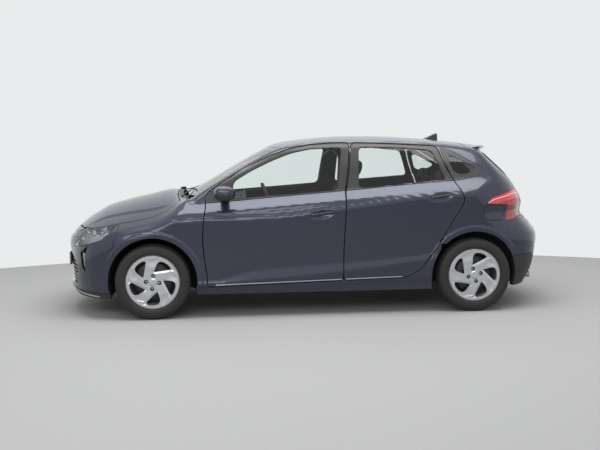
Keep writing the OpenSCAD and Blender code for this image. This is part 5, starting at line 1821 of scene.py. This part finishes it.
stalks = on_column(swept([(-60, 0, -70), (-120, 8, -66), (-165, 14, -60)], [6, 5, 7],
    10) .joined(swept([(60, 0, -70), (120, 8, -66), (165, 14, -60)], [6, 5, 7], 10)))
piece("steering_column", column.joined(stalks), cabin_plastic, crease=50)

# %% [markdown]
# ## Lining, shelf and floor covering
#
# Pale felt covers the roof and pale mouldings cover the pillars. They are what shows through the
# far windows. The carpet is a coarse dark pile.

# %% Lining
piece("headlining", skin(from_above, (-560, 560, 24), (-300, 1270, 24),
    [grown(within(ROOF, "plan"), -14), above(1150)], depth=34, roll=6, flange=0, inner=True),
    headliner)
pillar_keep = all_of(within([(-920, 930), (-500, 1190), (-180, 1330), (300, 1372), (1020, 1340),
    (1300, 1290), (1430, 1140), (1300, 1050), (1200, 1010), (1560, 1000), (1560, 1300),
    (1020, 1400), (-180, 1400), (-960, 1000)]), beyond(quarter_glass, 6), past(500, 0),
    either(below(1250), past(1280, 1, -1)))
pair("pillar_trim", skin(round_car, (along(-930), along(1300) + 200, 14), (930, 1395, 12),
    [pillar_keep, beyond(front_door, -14), beyond(rear_door, -14)], depth=42, roll=4, flange=8,
    inner=True), pale_plastic)
post_keep = within([(170, 300), (300, 300), (330, 1000), (345, 1370), (230, 1370), (190, 1000)])
pair("centre_post_trim", skin(round_car, (along(160), along(350), 12), (290, 1372, 14),
    [post_keep], depth=118, roll=6, flange=10, inner=True), cabin_plastic)
visor = soft_box((230, -300, 1300), (520, -190, 1314), 6)
visor.points[:, 2] += (visor.points[:, 1] + 250) * 0.25
pair("sun_visor", visor, headliner)
inner_mirror = soft_box((-115, -330, 1232), (115, -308, 1286), 10)
piece("inner_mirror", inner_mirror.joined(swept([(0, -330, 1260), (0, -345, 1300),
    (0, -330, 1330)], 7, 10)), cabin_plastic, crease=40)
shelf = soft_box((-545, 1196, 986), (545, 1590, 998), 4)
piece("shelf_cover", shelf, carpet, "body", ("parcel_shelf",), 30)
mats = [soft_box((s * SEAT_X - 215, -740, 240), (s * SEAT_X + 215, -300, 250), 4) for s in (-1,
    1)] + [soft_box((s * SEAT_X - 215, 300, 240), (s * SEAT_X + 215, 570, 250), 4) for s in (-1,
    1)]
boot_mat = soft_box((-480, 1215, 508), (480, 1690, 518), 4)
piece("floor_mats", joined(mats + [boot_mat]), carpet, crease=30)
belts = []
for s in (-1, 1):
    belts.append(swept([(s * 640, 300, 1130), (s * 655, 285, 900), (s * 670, 270, 520)],
        [14, 14, 14], 8, squash=0.12))
piece("seat_belts", joined(belts), seat_side, crease=40)
print("made so far", len(made))
# %% [markdown]
# ## Wheel arches and the underside
#
# Felt liners close the arches. Springs and dampers stand between the wheels and the body. The
# chassis parts keep their plain shapes and take finishes of coated steel, rough casting and
# stained exhaust pipe.

# %% Arch liners, springs and dampers
LINER_R = 346.5
LINER_LOW = 182


def arch_liner(inner, axle, outer=806, lower=LINER_LOW):
    """Curved shell over a wheel with a wall on its inner side."""
    low = math.asin((AXLE_Z - lower) / LINER_R)
    angles = np.linspace(-low, math.pi + low, 60)
    wobble = 1.5 * np.cos(angles * 18)
    rings = [[(x, axle - (LINER_R + w - drop) * math.cos(a), AXLE_Z + (LINER_R + w - drop) *
        math.sin(a)) for a, w in zip(angles, wobble * ripple)] for x, drop,
        ripple in ((outer, 0, 0), (outer - 6, 1, 0), (760, 1, 1), (700, 1, 1), (640, 1, 1),
        (inner + 14, 1, 0), (inner + 4, 8, 0), (inner, 24, 0), (inner, 150, 0),
        (inner, 215, 0)) if x >= inner]
    return loft(rings, caps=False, around=False)


def spring(x, y, low, high, radius, wire, coils):
    path = [(x + radius * math.cos(t * 2 * math.pi * coils), y + radius *
        math.sin(t * 2 * math.pi * coils), low + (high - low) * t) for t in np.linspace(0, 1,
        int(coils * 18))]
    return swept(path, wire, 8)


pair("arch_liner_front", arch_liner(500, FRONT_AXLE), liner_felt, "body", ("arch_liners",))
pair("arch_liner_rear", arch_liner(656, REAR_AXLE, 794, 215), liner_felt)
rear_spring = spring(560, REAR_AXLE - 110, 255, 380, 48, 6, 5)
rear_damper = swept([(600, REAR_AXLE + 60, 240), (598, REAR_AXLE + 58, 320),
    (596, REAR_AXLE + 55, 470)], [20, 24, 12], 16)
pair("rear_spring", rear_spring.joined(rear_damper), dark_steel)
tray = soft_box((-430, -1830, 168), (430, -1560, 176), 3)
ribs = [soft_box((x - 6, -1820, 160), (x + 6, -1570, 170), 3) for x in range(-360, 361, 120)]
piece("front_tray", joined([tray] + ribs), black_plastic, crease=30)
tail_pipe = turned([(1790, 20), (1850, 24), (1868, 26), (1868, 22), (1800, 18), (1790, 20)], 32,
    "y", (480, 0, 240))
piece("tail_pipe", tail_pipe, exhaust_steel, crease=40)

# %% Finishes on the chassis nodes
node_finish = {"floor_pan": underseal, "front_subframe": dark_steel, "rear_axle": dark_steel,
    "knuckle_left": cast_metal, "knuckle_right": cast_metal, "exhaust": exhaust_steel,
    "engine_block": cast_metal, "fuel_tank": black_plastic}
for node, finish in node_finish.items():
    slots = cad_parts[node].data.materials
    if len(slots):
        for number in range(len(slots)):
            slots[number] = finish.material
    else:
        slots.append(finish.material)

# %% [markdown]
# ## Engine bay
#
# Under the bonnet there is an engine cover with moulded ribs, a battery, an air box, a coolant
# tank and the tops of the suspension struts.

# %% Engine bay
cover_plate = soft_box((-200, -1560, 800), (210, -1260, 828), 12)
cover_ribs = [soft_box((x - 5, -1540, 824), (x + 5, -1280, 836), 4) for x in range(-150, 161, 50)]
piece("engine_cover", joined([cover_plate] + cover_ribs), black_plastic, crease=30)
battery = soft_box((330, -1370, 650), (500, -1160, 812), 6)
air_box = soft_box((-480, -1500, 640), (-345, -1270, 808), 18, 4)
duct = swept([(-410, -1390, 800), (-380, -1500, 815), (-280, -1600, 800), (-200, -1650, 770)],
    [34, 36, 34, 30], 20)
piece("bay_boxes", joined([battery, air_box, duct]), black_plastic, crease=40)
tank = soft_box((390, -1560, 690), (500, -1430, 800), 22, 4)
filler = turned([(796, 0.05), (796, 24), (822, 26), (826, 22), (826, 0.05)], 24, "z",
    (445, -1495, 0))
piece("coolant_tank", tank, lamp_white, crease=40)
piece("bay_caps", filler.joined(turned([(826, 0.05), (828, 26), (846, 28), (850, 24), (850, 0.05)],
    24, "z", (-80, -1420, 0))), cabin_plastic, crease=40)
strut_top = turned([(700, 58), (742, 56), (752, 44), (756, 20), (770, 14), (770, 0.05)], 36, "z",
    (540, FRONT_AXLE + 12, 0))
pair("strut_top", strut_top, inner_paint)
radiator = soft_box((-330, -1800, 300), (330, -1770, 700), 6)
piece("radiator", radiator, dark_steel, crease=30)

# %% [markdown]
# ## Wipers, aerial and small fittings
#
# The wipers rest at the foot of the windscreen. A shark-fin aerial stands at the back of the roof.

# %% Wipers
def wiper(pivot, tip, blade_from, blade_to, rise):
    """Arm from its pivot to the blade, and the blade lying just off the glass."""
    def on_glass(x, y, lift):
        return (x, y, at(top_z, x, y) + lift)

    arm_path = [on_glass(*pivot, 4), on_glass((pivot[0] * 2 + tip[0]) / 3,
        (pivot[1] * 2 + tip[1]) / 3, rise), on_glass(*tip, 12)]
    blade = [on_glass(blade_from[0] + (blade_to[0] - blade_from[0]) * t,
        blade_from[1] + (blade_to[1] - blade_from[1]) * t, 6) for t in np.linspace(0, 1, 14)]
    base = turned([(-6, 15), (8, 14), (14, 10), (14, 0.05)], 20, "z", on_glass(*pivot, -4))
    return joined([swept(arm_path, [7, 5.5, 4], 10), swept(blade, 5.5, 8, squash=0.6), base])


wipers = [wiper((420, -1062), (130, -985), (420, -945), (-170, -1012), 16),
    wiper((-120, -1082), (-400, -985), (-160, -1002), (-560, -930), 16)]
piece("wipers", joined(wipers), black_plastic, crease=50)

# %% Aerial and rear wiper
fin = []
for t in np.linspace(0, 1, 16):
    y_front, y_back = 990 + 160 * t ** 0.85, 1188 - 4 * t
    base_z = at(top_z, 0, 1120) - 10
    z = base_z + 66 * t
    w = 17 * (1 - 0.8 * t)
    fin.append([((w * math.sin(a)), (y_front + y_back) / 2 + (y_back - y_front) / 2 * math.cos(a),
        z - 10 * t * (1 - math.cos(a)) * 0.3) for a in circle(28)])
piece("aerial_fin", loft(fin), gloss_black, "body", ("roof_aerial",), 50)


def on_tail(x, z, lift):
    return (x, at(tail_y, x, z) + lift, z)


blade = []
for x in np.linspace(-545, 545, 41):
    tip_y = 1562 - 150 * (abs(x) / 545) ** 2.2
    tip_z = 1341 - 10 * (abs(x) / 545) ** 2
    row = [(x, y, at(top_z, x, y) - drop) for y, drop in ((tip_y - 110, 3), (tip_y - 75, 2))]
    row += [(x, tip_y - 7, tip_z + 4), (x, tip_y, tip_z), (x, tip_y - 6, tip_z - 14),
        (x, tip_y - 34, tip_z - 34), (x, tip_y - 100, tip_z - 26)]
    blade.append(row)
piece("spoiler_lip", loft(blade), paint, "tailgate", crease=40)
rear_wiper = joined([swept([on_tail(0, 1040, 10), on_tail(-70, 1066, 20), on_tail(-180, 1092, 14)],
    [8, 6, 4], 10), swept([on_tail(x, 1096, 7) for x in range(-310, -20, 24)], 5, 8, squash=0.6),
    turned([(-4, 18), (10, 17), (16, 12), (16, 0.05)], 24, "y", on_tail(0, 1040, 2))])
piece("rear_wiper", rear_wiper, black_plastic, "tailgate", crease=50)
print("made so far", len(made))
# %% [markdown]
# ## Studio
#
# The car stands on a plain round floor in pale grey, in front of an even background. Large soft
# lamps overhead and on both sides give long reflections along the panels.

# %% Floor, light and background
def studio_surface(name, colour):
    material = bpy.data.materials.new(name)
    material.use_nodes = True
    material.node_tree.nodes["Principled BSDF"].inputs["Base Color"].default_value = (*colour, 1)
    material.node_tree.nodes["Principled BSDF"].inputs["Roughness"].default_value = 0.9
    return material


FLOOR_R, FLOOR_SHIFT = 7.0, 3.2
mesh = bpy.data.meshes.new("floor")
mesh.from_pydata([(FLOOR_R * math.cos(a) + FLOOR_R - FLOOR_SHIFT, FLOOR_R * math.sin(a),
    0) for a in circle(96)], [], [list(range(96))])
floor = bpy.data.objects.new("floor", mesh)
mesh.materials.append(studio_surface("floor", (0.42, 0.42, 0.42)))
bpy.context.scene.collection.objects.link(floor)


def lamp(name, place, aim, size, power):
    data = bpy.data.lights.new(name, "AREA")
    data.shape = "RECTANGLE"
    data.size, data.size_y = size
    data.energy = power
    obj = bpy.data.objects.new(name, data)
    obj.location = place
    obj.rotation_euler = (Vector(aim) - Vector(place)).to_track_quat("-Z", "Y").to_euler()
    bpy.context.scene.collection.objects.link(obj)


lamp("overhead", (1.5, 0, 5.5), (0, 0, 0.6), (6.0, 3.0), 260)
lamp("side_left", (6.5, -2.0, 3.2), (0, 0, 0.7), (5.0, 2.0), 90)
lamp("side_right", (-5.5, 0.5, 6.5), (0, 0, 0.7), (5.0, 2.5), 60)
world = bpy.data.worlds.new("world")
world.use_nodes = True
nodes, links = world.node_tree.nodes, world.node_tree.links
background = nodes["Background"]
background.inputs["Color"].default_value = (0.82, 0.83, 0.84, 1)
rays = nodes.new("ShaderNodeLightPath")
seen = None
for ray in ("Is Camera Ray", "Is Glossy Ray", "Is Transmission Ray"):
    if seen is None:
        seen = rays.outputs[ray]
        continue
    both = nodes.new("ShaderNodeMath")
    both.operation = "ADD"
    links.new(seen, both.inputs[0])
    links.new(rays.outputs[ray], both.inputs[1])
    seen = both.outputs[0]
strength = nodes.new("ShaderNodeMapRange")
links.new(seen, strength.inputs["Value"])
strength.inputs["To Min"].default_value = 0.7
strength.inputs["To Max"].default_value = 1.0
links.new(strength.outputs["Result"], background.inputs["Strength"])
bpy.context.scene.world = world
bpy.context.scene.view_settings.view_transform = "Standard"

# %% Print the box of the imported model
print("cad box", cad_box)
